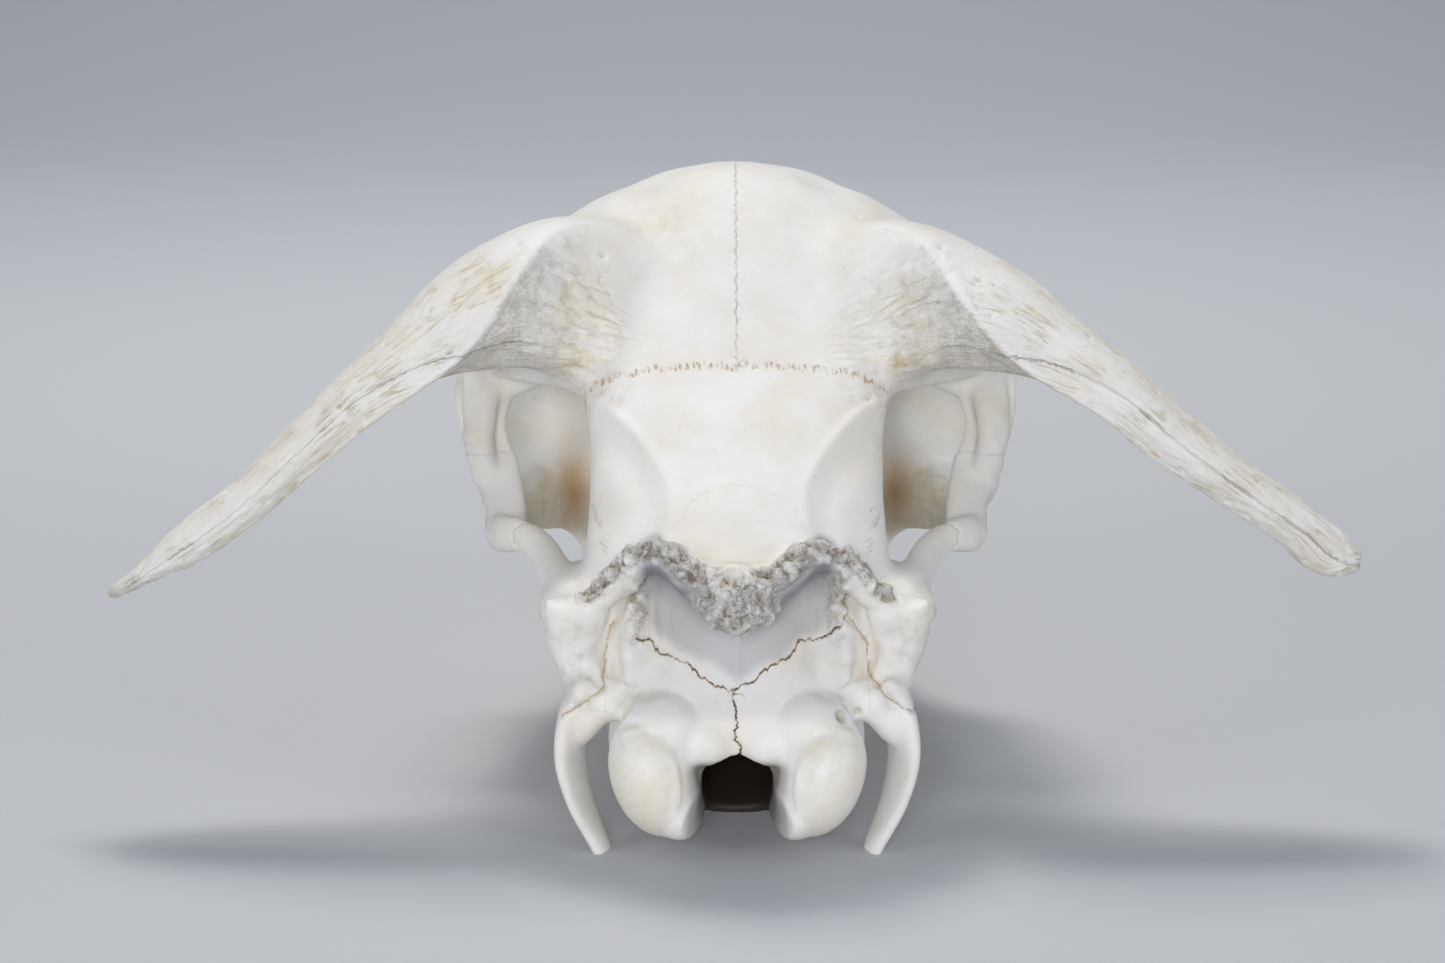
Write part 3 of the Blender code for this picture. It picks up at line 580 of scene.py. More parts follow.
        def around(values: np.ndarray) -> np.ndarray:
            """The mean of each point's neighbours."""
            return (np.bincount(a, values[b], self.count) + np.bincount(b, values[a], self.count)) / valence

        middle = self.places
        for _ in range(rounds):
            middle = np.stack([around(middle[:, k]) for k in range(3)], 1)
        sunk = ((middle - self.places) * self.normals).sum(1)
        return around(around(sunk))


@dataclass(frozen=True)
class Suture:
    """A seam between bones, drawn where a sheet meets the surface as a wavy line.

    The sheet is a line in the plane across one axis, carried along that axis between two limits.
    """

    line: tuple[tuple[float, float], ...]
    across: Across
    low: float
    high: float
    start: Row
    wave: float = 0.3
    pitch: float = 2.6
    depth: float = 0.18
    stain: float = 0.5
    comb: float = 0.0
    paired: bool = False
    reach: float = 3.5

    def measure(self, places: np.ndarray, side: int) -> tuple[np.ndarray, np.ndarray, np.ndarray]:
        """Where points lie beside the seam.

        Args:
            places: Points, three a row.
            side: The sign of x that is worked on, for a paired seam.

        Returns:
            The numbers of the points near it, their signed distance from the wavy line, and the
            distance from the seam's start.
        """
        local = places * (side, 1, 1) if self.paired else places
        a = self.across.value
        plane = [k for k in range(3) if k != a]
        line = np.array(self.line)
        low, high = line.min(0) - self.reach, line.max(0) + self.reach
        inside = (local[:, a] > self.low) & (local[:, a] < self.high)
        for k, axis in enumerate(plane):
            inside &= (local[:, axis] > low[k]) & (local[:, axis] < high[k])
        index = np.flatnonzero(inside)
        spots = local[index][:, plane]
        best = np.full(len(index), 1e9)
        beyond = np.zeros(len(index), bool)
        for number, (p, q) in enumerate(zip(line, line[1:])):
            along = q - p
            length = np.linalg.norm(along)
            foot = (spots - p) @ along / length**2
            t = np.clip(foot, 0, 1)
            offset = spots - p - t[:, None] * along
            away = np.linalg.norm(offset, axis=1)
            sign = np.sign(along[0] * offset[:, 1] - along[1] * offset[:, 0])
            closer = away < np.abs(best)
            past = (foot < 0) & (number == 0) | (foot > 1) & (number == len(line) - 2)
            beyond = np.where(closer, past, beyond)
            best = np.where(closer, away * np.where(sign == 0, 1, sign), best)
        run = np.linalg.norm(local[index] - self.start, axis=1)
        turn = 2 * math.pi * run / self.pitch
        wave = 0.6 * np.sin(turn + 1.7 * np.sin(turn / 3.1)) + 0.4 * np.sin(2.7 * turn + 1.3)
        keep = (np.abs(best) < self.reach) & ~beyond
        return index[keep], (best + self.wave * wave)[keep], run[keep]

    def groove(self, surface: Surface) -> None:
        """Sinks the seam into the surface."""
        for side in halves(self.paired):
            index, away, _ = self.measure(surface.places, side)
            surface.lift(index, -self.depth * bell(away, 0.42))


class Mark(Enum):
    """A mark that the finishes read, by the attribute that holds it and its place there."""

    # Grime, and painted shade on the horn cores' rear faces.
    GRIME_AND_SHADE = ("tint", 0)
    WARM = ("tint", 1)
    TAN = ("tint", 2)
    SHADE = ("shade", 0)
    POROUS = ("wear", 0)
    # Painted shade in holes, bores and the nose's depth.
    HOLLOW = ("wear", 1)
    POLISH = ("wear", 2)


class Marks:
    """What the finishes read at each point of a bone, as named attributes of its mesh."""

    def __init__(self, count: int, crevice: np.ndarray) -> None:
        """Starts with clean bone.

        Args:
            count: How many points the bone has.
            crevice: How sunk each one lies.
        """
        self.seam, self.tint, self.wear, self.grain = (np.zeros((count, 3)) for _ in range(4))
        self.seam[:, 0] = FAR_FROM_SEAM
        self.shade = np.zeros((count, 1))
        self.crevice = crevice

    def add(self, mark: Mark, amount: np.ndarray, index: np.ndarray | slice = slice(None)) -> None:
        """Raises a mark where the new amount is more.

        Args:
            mark: The mark.
            amount: The new amount.
            index: The points that it is for.
        """
        name, column = mark.value
        held = getattr(self, name)
        held[index, column] = np.maximum(held[index, column], amount)

    def write(self, mesh: bpy.types.Mesh) -> None:
        """Stores the marks as attributes.

        Args:
            mesh: The bone's mesh.
        """
        for name in ("seam", "tint", "wear", "grain"):
            layer = mesh.attributes.new(name, "FLOAT_VECTOR", "POINT")
            layer.data.foreach_set("vector", getattr(self, name).astype(np.float32).ravel())
        for name in ("shade", "crevice"):
            layer = mesh.attributes.new(name, "FLOAT", "POINT")
            layer.data.foreach_set("value", getattr(self, name).astype(np.float32).ravel())


class Part:
    """A sub-assembly of the skull. Each one does those of the four jobs that it has."""

    def add(self, stock: Stock) -> None:
        """Adds its solids.

        Args:
            stock: What they are added to.
        """

    def carve(self, hollows: Stock) -> None:
        """Adds the solids that are taken away from the skull.

        Args:
            hollows: What they are added to.
        """

    def sculpt(self, surface: Surface) -> None:
        """Works its stretch of the fused surface.

        Args:
            surface: The whole surface.
        """

    def mark(self, places: np.ndarray, marks: Marks) -> None:
        """Says where the bone is stained, porous or polished, and where shade is painted onto it.

        Args:
            places: The points of one bone, three a row.
            marks: What the finish reads at those points.
        """


@dataclass
class Vault(Part):
    """The braincase and the frontal roof over the orbits."""

    levels: Table = (
        (8, 9, 13, 24, 40), (14, 15, 11, 28, 56), (22, 22, 10, 30, 64), (30, 28, 10, 31, 70),
        (40, 31, 10.5, 33, 80), (50, 31, 11.5, 37, 88), (58, 30.5, 12, 41, 92), (64, 30, 15, 45, 96),
        (70, 30, 20.5, 48, 98), (77, 30.5, 28, 52, 100), (84, 32, 36, 56, 103), (91, 34, 44.5, 60, 106),
        (100, 36, 54, 67, 110), (110, 36, 64, 76, 113), (118, 32.5, 74, 85, 112), (123, 26, 82, 91, 110),
        (126.5, 18, 88, 95, 106), (129, 4, 96, 98, 101),
    )
    level_power: float = 2.3
    roof: Table = (
        (56, 36, 103, 86), (64, 43, 111, 86), (72, 51, 118, 86), (80, 56, 124, 87), (88, 56.5, 128, 89),
        (96, 54, 129, 90), (104, 49, 127, 89), (112, 42, 121.5, 86), (120, 36, 114, 82), (128, 31, 106, 78),
    )
    roof_power: float = 1.85
    temporal_line: Table = (
        (-34, 54, 85), (-28.5, 45, 84), (-22.5, 37, 81), (-17.0, 29, 76.5), (-13.6, 22, 71.5),
        (-14.2, 17, 66.5), (-16.6, 13.5, 62.5),
    )
    horn_crease: Table = ((-26.5, 97, 122.5), (-26, 108, 116), (-24, 117, 108.5))
    dents: Table = (
        (5, 33, 82.5, 3.0, 0.4), (22, 24, 62, 6, -0.8), (0, 21, 66, 5, 0.5), (8, 40, 84, 5, -0.25),
        (14, 60, 107, 7, -0.5), (19, 90, 122, 6, -2.0), (26, 24, 66, 8, -0.8),
    )
    supraorbital: Row = (26, 98, 122)
    wrinkle_centre: Row = (34, 48.5, 99)
    wrinkle_depth: float = 1.05
    interparietal: Table = (
        (-13.2, 18, 63), (-11.0, 20, 66.5), (-6.5, 21.5, 70), (0, 22, 71.8), (6.5, 21.5, 70),
        (11.0, 20, 66.5), (13.2, 18, 63),
    )

    def add(self, stock: Stock) -> None:
        """Stacks oval sections for the braincase and arches the roof over the orbits.

        Args:
            stock: What its solids are added to.
        """
        rings = []
        for z, half, rear, widest, front in resample(self.levels, 110):
            ring = []
            for k in range(72):
                a = 2 * math.pi * k / 72
                x = half * power(math.cos(a), 2 / self.level_power)
                reach = front - widest if math.sin(a) > 0 else widest - rear
                y = widest + reach * power(math.sin(a), 2 / self.level_power)
                ring.append((x, y, z))
            rings.append(ring)
        stock.skin("braincase", rings)
        rings = []
        for y, half, top, rim in resample(self.roof, 60):
            ring = []
            for k in range(49):
                a = math.pi * k / 48
                x = half * power(math.cos(a), 2 / self.roof_power)
                ring.append((x, y, rim + (top - rim) * power(math.sin(a), 2 / self.roof_power)))
            for k in range(1, 24):
                a = math.pi * k / 24
                ring.append((-half * math.cos(a), y, rim - 3.5 * math.sin(a) ** 0.5))
            rings.append(ring)
        stock.skin("frontal_roof", rings)

    def sculpt(self, surface: Surface) -> None:
        """Adds the temporal lines, the soft dents of the vault and the wrinkles beside the horns.

        Args:
            surface: The whole surface.
        """
        surface.ridge(self.temporal_line, 1.4, 0.9)
        outer = tuple((x - 4.2, y + 0.5, z - 3.2) for x, y, z in self.temporal_line[1:])
        surface.ridge(outer, 3.6, -1.1)
        surface.ridge(self.interparietal, 1.0, 0.12, (1,))
        surface.push(self.dents)
        surface.ridge(self.horn_crease, 1.4, -0.9)
        x, y, z = self.supraorbital
        for side in halves(True):
            surface.pit((x * side, y, z), 1.7, 2.6)
        index = surface.box((-64, 10, 50), (64, 132, 132))
        soft = rough_noise(surface.places[index] / 11.0, 2, 5)
        surface.lift(index, 0.16 * soft)
        self._wrinkle(surface)

    def _wrinkle(self, surface: Surface) -> None:
        """Folds the bone in fine ripples where the horn cores rise from the forehead.

        Args:
            surface: The whole surface.
        """
        for side in halves(True):
            low, high = sorted((side * 18, side * 54))
            index = surface.box((low, 36, 82), (high, 74, 118))
            p = surface.places[index] * (side, 1, 1)
            turn = np.arctan2(p[:, 2] - 92, p[:, 0] - 8) * 26
            fan = np.stack([np.hypot(p[:, 0] - 8, p[:, 2] - 92) / 4.6, p[:, 1] / 9.0, turn / 1.25], 1)
            fold = creases(fan, 31 + side, 4) + 0.5 * creases(fan * 1.9, 41, 4)
            share = spot(p, self.wrinkle_centre, 11, (1, 1.2, 1.2))
            behind = ramp(-surface.normals[index][:, 1], 0.1, 0.5)
            surface.lift(index, -self.wrinkle_depth * fold * share * behind)

    def mark(self, places: np.ndarray, marks: Marks) -> None:
        """Stains the bone beside the horn cores and round the ends of the coronal suture.

        Args:
            places: The points of one bone, three a row.
            marks: What the finish reads there.
        """
        p = folded(places)
        blotch = 0.5 + 0.5 * rough_noise(p / 4.0, 3, 11)
        left = ramp(places[:, 0], 6, -6)
        warm = spot(p, (14, 74, 118), 9, (1.0, 1.2, 1.0)) * (0.15 + 0.35 * left)
        warm += spot(p, (33, 49, 90.5), 4.5) * 0.8
        warm += spot(p, (30, 51, 103), 10) * 0.3
        warm += spot(places, (-50.5, 48, 109.5), 2.6) * 1.3
        marks.add(Mark.WARM, warm * (0.35 + 0.8 * blotch))
        brown = spot(p, (25.5, 45, 85.5), 3.2) + spot(p, (33.4, 49, 90), 1.9)
        marks.add(Mark.TAN, 0.75 * brown * ramp(blotch, 0.35, 0.7))
        marks.add(Mark.GRIME_AND_SHADE, 0.7 * spot(p, (29, 48.5, 86), 5.0) * blotch)
        marks.add(Mark.POROUS, 0.3 * spot(p, (46, 45, 97), 9, (1.1, 1, 1)))


@dataclass
class HornCore(Part):
    """A bare horn core: an oval whose keel winds from the top to the rear, with a hollow below it."""

    side: Side
    stations: Table
    notches: Table
    keel_breadth: float = 22.0
    hollow_from_keel: float = 50.0
    hollow_breadth: float = 28.0
    groove_depth: float = 0.24
    pores: int = 70

    def axis(self, count: int) -> tuple[np.ndarray, np.ndarray, np.ndarray]:
        """The core's middle line and the ways across it.

        Args:
            count: How many points.

        Returns:
            The rows of the table there, the long way across and the short way across, for the left side.
        """
        path = resample(self.stations, count)
        along = np.gradient(path[:, :3], axis=0)
        along /= np.linalg.norm(along, axis=1)[:, None]
        rear = np.array((0.0, -1.0, 0.0)) - along * -along[:, 1:2]
        rear /= np.linalg.norm(rear, axis=1)[:, None]
        up = np.cross(rear, along)
        up *= np.where(up[:, 2:] < 0, -1, 1)
        tilt = np.radians(path[:, 7:8])
        return path, up * np.sin(tilt) - rear * np.cos(tilt), up * np.cos(tilt) + rear * np.sin(tilt)

    def add(self, stock: Stock) -> None:
        """Lofts the core from inside the forehead to its tip.

        Args:
            stock: What its solids are added to.
        """
        path, long_way, short_way = self.axis(110)
        rings = []
        for row, wide, tall in zip(path, long_way, short_way):
            half_depth, half_height, keel, share, roll = row[3:]
            ring = []
            for k in range(60):
                a = 2 * math.pi * k / 60
                away = (math.degrees(a) - keel + 180) % 360 - 180
                swell = 1 + share * 1.6 * math.exp(-abs(away) / self.keel_breadth)
                below = (away - self.hollow_from_keel) / self.hollow_breadth
                swell -= share * 0.8 * math.exp(-(below**2))
                tilt = math.radians(roll)
                place = row[:3] + wide * math.cos(a - tilt) * half_depth * swell
                place = place + tall * math.sin(a - tilt) * half_height * swell
                ring.append((place[0] * -self.side.value, place[1], place[2]))
            rings.append(ring)
        stock.skin("horn_" + self.side.ending, rings)

    def measure(self, places: np.ndarray) -> dict[str, np.ndarray]:
        """Horn coordinates of the points on this side.

        Args:
            places: All points of the skull or of one bone.

        Returns:
            index: numbers of the points; run: length along the core; angle: degrees round it; away: degrees
            from the keel; share: how keeled it is there; size: the oval's mean radius.
        """
        local = places * (-self.side.value, 1, 1)
        index = np.flatnonzero((local[:, 0] < -26) & (local[:, 1] < 90) & (local[:, 2] > 38))
        local = local[index]
        path, long_way, short_way = self.axis(160)
        steps = np.linalg.norm(np.diff(path[:, :3], axis=0), axis=1)
        length = np.concatenate([[0], np.cumsum(steps)])
        nearest = np.zeros(len(local), int)
        for first in range(0, len(local), 20000):
            part = local[first : first + 20000]
            gaps = ((part[:, None, :] - path[None, :, :3]) ** 2).sum(2)
            nearest[first : first + 20000] = gaps.argmin(1)
        row = path[nearest]
        spoke = local - row[:, :3]
        u = (spoke * long_way[nearest]).sum(1) / row[:, 3]
        v = (spoke * short_way[nearest]).sum(1) / row[:, 4]
        angle = np.degrees(np.arctan2(v, u)) + row[:, 7]
        away = (angle - row[:, 5] + 180) % 360 - 180
        along = np.gradient(path[:, :3], axis=0)[nearest]
        along /= np.linalg.norm(along, axis=1)[:, None]
        run = length[nearest] + (spoke * along).sum(1)
        fits = np.hypot(u, v) < 1.7
        found = {
            "index": index, "run": run, "away": away, "angle": angle, "share": row[:, 6],
            "size": np.sqrt(row[:, 3] * row[:, 4]),
        }
        return {name: values[fits] for name, values in found.items()}

    def sculpt(self, surface: Surface) -> None:
        """Sharpens the keel and cuts the long grooves, pores and chipped lower edge into the core.

        Args:
            surface: The whole surface.
        """
        horn = self.measure(surface.places)
        index, run, away, size = horn["index"], horn["run"], horn["away"], horn["size"]
        free = ramp(run, 28, 46)
        keel = free * ramp(horn["share"], 0.02, 0.12)
        surface.lift(index, keel * 0.55 * bell(away, 6))
        arc = np.radians(horn["angle"]) * size
        grain = np.stack([run / 24.0, arc / 2.2, size * 0], 1)
        lines = creases(grain, 3, 7) + 0.6 * creases(grain * (1.6, 2.1, 1), 7, 6)
        front = ramp(away, -175, -8) * ramp(away, -2, -14)
        front = front + ramp(np.abs(away), 178, 100) * ramp(away, 60, 110)
        fine = np.stack([run / 2.2, arc / 0.8, size * 0], 1)
        spongy = rough_noise(fine, 2, 13)
        tip = ramp(run, 70, 118)
        surface.lift(index, -free * self.groove_depth * lines * (0.35 + 0.65 * front + 0.5 * tip))
        surface.lift(index, free * (0.08 + 0.12 * tip) * spongy)
        self._pores(surface, index)
        for x, y, z, radius, depth in self.notches:
            surface.pit((x, y, z), radius, depth)

    def _pores(self, surface: Surface, index: np.ndarray) -> None:
        """Sinks small vessel pores into the core, at points drawn at random.

        Args:
            surface: The whole surface.
            index: The numbers of the core's points.
        """
        draw = np.random.default_rng(11 + self.side.value)
        for number in draw.choice(index, self.pores, replace=False):
            radius = draw.uniform(0.45, 0.85)
            surface.pit(tuple(surface.places[number]), radius, draw.uniform(0.4, 0.9))

    def mark(self, places: np.ndarray, marks: Marks) -> None:
        """Gives the finish its grain and its pitted grey rear face, whose grey is partly painted shade.

        Args:
            places: The points of one bone, three a row.
            marks: What the finish reads there.
        """
        horn = self.measure(places)
        index, run, away = horn["index"], horn["run"], horn["away"]
        marks.grain[index, 0] = run
        marks.grain[index, 1] = np.radians(horn["angle"]) * 9.0
        marks.grain[index, 2] = ramp(run, 26, 44)
        # The rear face is greyed partly for its pits and partly as painted shade, for the face turned from
        # the light.
        rear = ramp(away, 0, 5) * ramp(away, 165, 130) * ramp(run, 12, 34) * ramp(run, 92, 76)
        marks.add(Mark.POROUS, 0.4 * rear, index)
        marks.add(Mark.GRIME_AND_SHADE, 0.42 * rear, index)
        yellowed = 0.16 if self.side is Side.LEFT else 0.04
        marks.add(Mark.WARM, ramp(run, 30, 50) * yellowed * (1 - rear), index)


@dataclass
class Orbit(Part):
    """One eye socket: its raised ring, the bar behind it, the cheek arch below it and its inner walls."""

    side: Side
    centre: Row = (-52.5, 95, 70)
    radius: float = 19.5
    bar: Table = (
        (-50, 67, 50.5, 4.6, 3.2), (-50.5, 72.5, 57, 4.6, 2.4), (-53, 77, 65, 5.4, 2.2),
        (-55.2, 79, 73, 6.0, 2.3), (-55, 80, 81, 7.0, 2.8), (-49, 80, 89, 10, 4), (-40, 78, 95, 11, 5),
    )
    arch: Table = (
        (-32, 24, 46.5, 6, 4), (-35, 34, 47.5, 4.3, 3.8), (-37.4, 43, 48.7, 4.2, 3.5),
        (-40.2, 51, 51.0, 3.7, 3.1), (-45, 59, 52.4, 3.5, 2.8), (-50.3, 66, 51.4, 4.2, 2.8),
        (-52.6, 77, 50.4, 4.8, 2.8), (-52, 88, 50, 5.2, 3), (-49.5, 99, 49.6, 5.9, 3.4),
        (-45.4, 109, 49.2, 7.0, 4), (-39.5, 118, 47.7, 7.8, 5), (-34, 126, 42, 8.5, 6),
    )
    facial_crest: Table = ((-46, 110, 46.5), (-40, 118, 43), (-36, 128, 35.5), (-33.5, 136, 30))

    def add(self, stock: Stock) -> None:
        """Sweeps the ring, the bar and the arch.

        Args:
            stock: What its solids are added to.
        """
        side = self.side.value
        bar, arch = self.bar, self.arch
        if self.side is Side.RIGHT:
            bar, arch = mirrored(bar), mirrored(arch)
        stock.sweep("bar_" + self.side.ending, bar, (side, 0.15, 0))
        stock.sweep("arch_" + self.side.ending, arch, (0, 0, 1))
        stations = []
        cx, cy, cz = self.centre
        for degrees in range(-75, 226, 15):
            a = math.radians(degrees)
            forward, up = math.cos(a), math.sin(a)
            x = cx + 2.6 * max(forward, 0) - 3.5 * max(-forward, 0) + 3.0 * max(-up, 0)
            half = 3.4 + 1.4 * max(up, 0)
            y, z = cy + (self.radius + 1.5) * forward, cz + (self.radius + 1.0) * up
            stations.append((-side * x, y, z, half, 2.6))
        stock.sweep("orbit_rim_" + self.side.ending, tuple(stations), (side, 0, 0))

    def carve(self, hollows: Stock) -> None:
        """Hollows the socket and opens it to the temporal fossa.

        Args:
            hollows: What the solids to take away are added to.
        """
        side = self.side.value
        ending = self.side.ending
        hollows.ellipsoid("orbit_" + ending, (46 * side, 94, 69.5), (26, 17.5, 17), (0, 0, 10 * side))
        hollows.ellipsoid("gap_" + ending, (41 * side, 66, 66), (8.5, 13, 17), (0, 12 * side, 0))

    def sculpt(self, surface: Surface) -> None:
        """Notches the ring and marks the crest that runs on to the cheek.

        Args:
            surface: The whole surface.
        """
        side = self.side.value
        cx, cy, cz = self.centre
        low, high = sorted((side * 40, side * 68))
        index = surface.box((low, 70, 45), (high, 122, 96))
        p = surface.places[index]
        from_ring = np.hypot(p[:, 1] - cy, p[:, 2] - cz) - self.radius - 2.5
        from_ring = np.hypot(from_ring, (np.abs(p[:, 0]) - 58) * 0.7)
        angle = np.arctan2(p[:, 2] - cz, p[:, 1] - cy)
        notch = lattice_noise(np.stack([angle * self.radius / 2.0, p[:, 0] / 3.0, p[:, 0] * 0], 1), 19)
        surface.lift(index, 0.4 * notch * bell(from_ring, 5))
        surface.ridge(self.facial_crest, 2.2, 0.7, (-side,))

    def mark(self, places: np.ndarray, marks: Marks) -> None:
        """Paints shade into the lower depth of the socket as warm cream below a lobed edge and a tan smear
        beside the bar, and leaves the wall above white as a painted pool of light.

        Args:
            places: The points of one bone, three a row.
            marks: What the finish reads there.
        """
        p = folded(places)
        own = places[:, 0] * self.side.value > 0
        x, y, z = p.T
        edge = 58 + 2.4 * lattice_noise(np.stack([x / 2.4, y / 9, z * 0], 1), 23)
        # Painted shade and light in the socket: below a lobed edge the depth is warmed to cream as painted
        # shade, and the wall above stays white as a painted pool of light.
        cream = ramp(z, edge + 1.5, edge - 4) * ramp(z, 34, 40) * ramp(y, 84, 96)
        cream = cream * ramp(y, 128, 116) * ramp(x, 54, 46) * ramp(x, 14, 20)
        marks.add(Mark.WARM, 0.55 * cream * own)
        # Painted shade: a tan smear in the socket's depth beside the bar.
        marks.add(Mark.TAN, 0.9 * spot(p, (37.5, 111, 50.5), 8, (0.5, 1.6, 1.1)) * own)


@dataclass
class Occiput(Part):
    """The back: condyles, foramen magnum, nuchal crest, mastoids and paracondylar processes."""

    paracondylar: Table = (
        (-28, 19, 34, 7, 4.5), (-31.4, 18.4, 27, 7, 3.1), (-32.9, 17.4, 19, 6.2, 2.3),
        (-31.1, 15.4, 10, 5.0, 1.9), (-27.2, 13.4, 1.5, 3.4, 1.6), (-26.3, 13.0, -0.6, 3.0, 1.5),
    )
    mastoid: Table = (
        (-31, 16.5, 49, 6.5, 3.5), (-32, 18, 43, 5.6, 4.5), (-30.5, 19, 36, 4.8, 5),
        (-29.5, 19.5, 29, 4.2, 5),
    )
    crest: Table = (
        (0, 9.5, 53.8, 4.8, 4.2), (-8.5, 10.2, 55.6, 4.4, 4.0), (-12, 11.2, 58.8, 4.0, 3.8),
        (-15.8, 12.2, 60.0, 3.8, 3.6), (-18.8, 13, 59.0, 3.6, 3.5), (-22.4, 14.2, 56.0, 3.4, 3.3),
        (-24.8, 15.2, 52.6, 3.2, 3.1), (-29, 16.4, 49.4, 2.8, 2.7), (-35.5, 18.2, 46.8, 2.4, 2.4),
        (-37.3, 23, 46.2, 2.4, 2.4), (-36.6, 31, 46.8, 2.6, 2.6),
    )
    base_bar: Table = (
        (0, 17, 7.8, 9.5, 2.4), (0, 24, 10.5, 12, 4), (0, 36, 15, 11, 5.5), (0, 50, 21, 9.5, 6.5),
        (0, 66, 28, 8.5, 7),
    )
    foramen: Table = (
        (0, -6, 6.0, 12.4, 11.0), (0, 1, 7.4, 11.0, 10.4), (0, 6, 9.2, 9.2, 9.2), (0, 12, 12.6, 7.1, 7.4),
        (0, 22, 18.5, 8.8, 8.2), (0, 36, 27.5, 11, 10),
    )
    crest_line: Table = (
        (-29, 14.6, 51.6), (-25.4, 13.0, 54.6), (-22.8, 11.6, 58.6), (-19.0, 10.4, 61.8),
        (-15.8, 9.6, 62.8), (-12.4, 8.6, 61.4), (-9.2, 7.2, 58.4), (-5.0, 6.0, 56.4), (0, 5.4, 55.0),
    )
    crest_flank: Table = ((-20.4, 12, 57), (-19.6, 15.6, 52), (-19.0, 16, 47), (-19.6, 15.4, 43))
    bumps: Table = (
        (13.5, 15.2, 51, 5.0, -1.6), (12.5, 13.8, 45.5, 5.0, -1.2), (5.2, 12, 44.5, 3.0, -0.9),
        (20.6, 15, 43.5, 2.6, 2.0), (20.8, 13.8, 39, 2.4, 2.8), (21.2, 13.4, 34.6, 2.0, 3.2),
        (25.4, 16.6, 40, 1.8, -1.2), (16.4, 12.6, 39, 2.4, -0.9), (17.0, 10.6, 33.4, 2.0, -0.8),
        (8.5, 9.8, 29.5, 6.0, 0.9), (15.2, 12, 38, 2.6, -0.9), (25, 17, 37, 2.0, -0.8),
        (31.5, 13.9, 40, 4.2, -0.9), (38, 12.6, 44.5, 2.4, 1.2), (29, 14, 46.5, 2.2, 0.6),
        (14.6, 8.5, 28.5, 2.4, -0.6), (33.8, 13.8, 36, 1.8, 0.7), (30.4, 13, 32.6, 1.6, 0.5),
    )
    midline: Table = ((0.01, 10.8, 47), (0.01, 10.4, 41), (0.01, 9.9, 35))
    muscle_lines: Table = ((-11.2, 52.5), (-13.6, 53), (-16.2, 52))
    mastoid_groove: Table = ((-25.4, 13.6, 43), (-26.6, 13.6, 34), (-29.4, 14.4, 30.8), (-34.2, 15.4, 27.6))
    mastoid_edge: Table = ((-28, 14.6, 50), (-34, 16, 48), (-38.4, 18, 46.6))
    condyle_edge: Table = ((-11.8, 3.4, 24), (-11.4, 2.6, 17), (-12.2, 2.8, 10))
    condyle_top: Table = ((-22.6, 7, 25.5), (-18, 5.6, 28), (-13.5, 5.4, 27))
    knob_centre: Row = (-0.6, 4.4, 52.4)
    crumbs: Table = ((3.1, 51), (1.7, 52), (0.9, 53))
    holes: Table = (
        (20.0, 8.6, 29.0, 0.95, 2.6), (23.2, 12, 28.8, 0.6, 1.2), (-22.0, 11, 28.4, 0.6, 1.2),
    )
    knobs: tuple[Knob, ...] = (
        Knob("condyle", (-16.4, 10.2, 16.4), (8.2, 9.4, 12.4), (0, -18, 0)),
        Knob("condyle_foot", (-11, 10.5, 9.6), (5.6, 8.6, 5.8), (0, 20, 0)),
        Knob("bulla", (-20.5, 37, 17), (5.8, 9.5, 10.5), (0, 8, 0)),
        Knob("protuberance", (-0.5, 7.2, 52.8), (8.4, 4.9, 6.6), paired=False),
        Knob("foramen_knob", (-6.4, 11.2, 22.6), (5.4, 3.7, 4.4), (0, 12, 0)),
        Knob("exoccipital", (-15, 12, 26.5), (7.5, 6.2, 6.5)),
        Knob("process_web", (-26, 16, 30), (6, 4.5, 4.5)),
        Knob("process_flange", (-28.6, 16.6, 27.2), (3.6, 4.4, 7.5), (0, 28, 0)),
        Knob("temporal_root", (-31.5, 36, 47), (8, 19, 4.6), (0, -10, -6)),
    )
    hollow_knobs: tuple[Knob, ...] = (
        Knob("brain_hollow", (0, 44, 36), (15, 17, 14), paired=False),
        Knob("ear_opening", (-33, 27, 38), (7, 3, 3)),
    )

    def add(self, stock: Stock) -> None:
        """Sweeps the crest and the processes and sets the condyles and bullae.

        Args:
            stock: What its solids are added to.
        """
        stock.sweep_pair("paracondylar", self.paracondylar, (0.35, 1, 0))
        stock.sweep_pair("mastoid", self.mastoid, (-1, 0, 0))
        stock.sweep_pair("nuchal_crest", self.crest, (0, -1, 0.4))
        stock.sweep("base_bar", self.base_bar, (1, 0, 0))
        stock.knobs(self.knobs)

    def carve(self, hollows: Stock) -> None:
        """Bores the foramen magnum into the braincase and opens the ears."""
        hollows.sweep("foramen_magnum", self.foramen, (1, 0, 0), sides=48, square=2.6)
        hollows.knobs(self.hollow_knobs)

    def sculpt(self, surface: Surface) -> None:
        """Roughens the crest, sinks the fossae and raises the lesser ridges of the rear face.

        Args:
            surface: The whole surface.
        """
        surface.push(self.bumps)
        surface.ridge(self.midline, 1.5, 0.45, (-1,))
        for x, z in self.muscle_lines:
            surface.ridge(((x, 15.4, z), (x + 0.4, 14.6, z - 6), (x + 1.2, 13.4, z - 11)), 0.7, 0.4)
        surface.write()
        surface.push(((21.4, 10.6, 32.6, 1.3, 1.5), (21.6, 11.4, 30.4, 1.2, -0.9)))
        surface.ridge(self.crest_flank, 2.6, 0.9)
        surface.ridge(self.mastoid_groove, 1.3, -0.9)
        surface.ridge(self.mastoid_edge, 0.9, 0.7)
        surface.write()
        self._roughen(surface)
        surface.ridge(self.condyle_edge, 1.0, 0.6)
        surface.ridge(self.condyle_top, 0.9, 0.35)
        for x, y, z, radius, depth in self.holes:
            surface.pit((x, y, z), radius, depth)

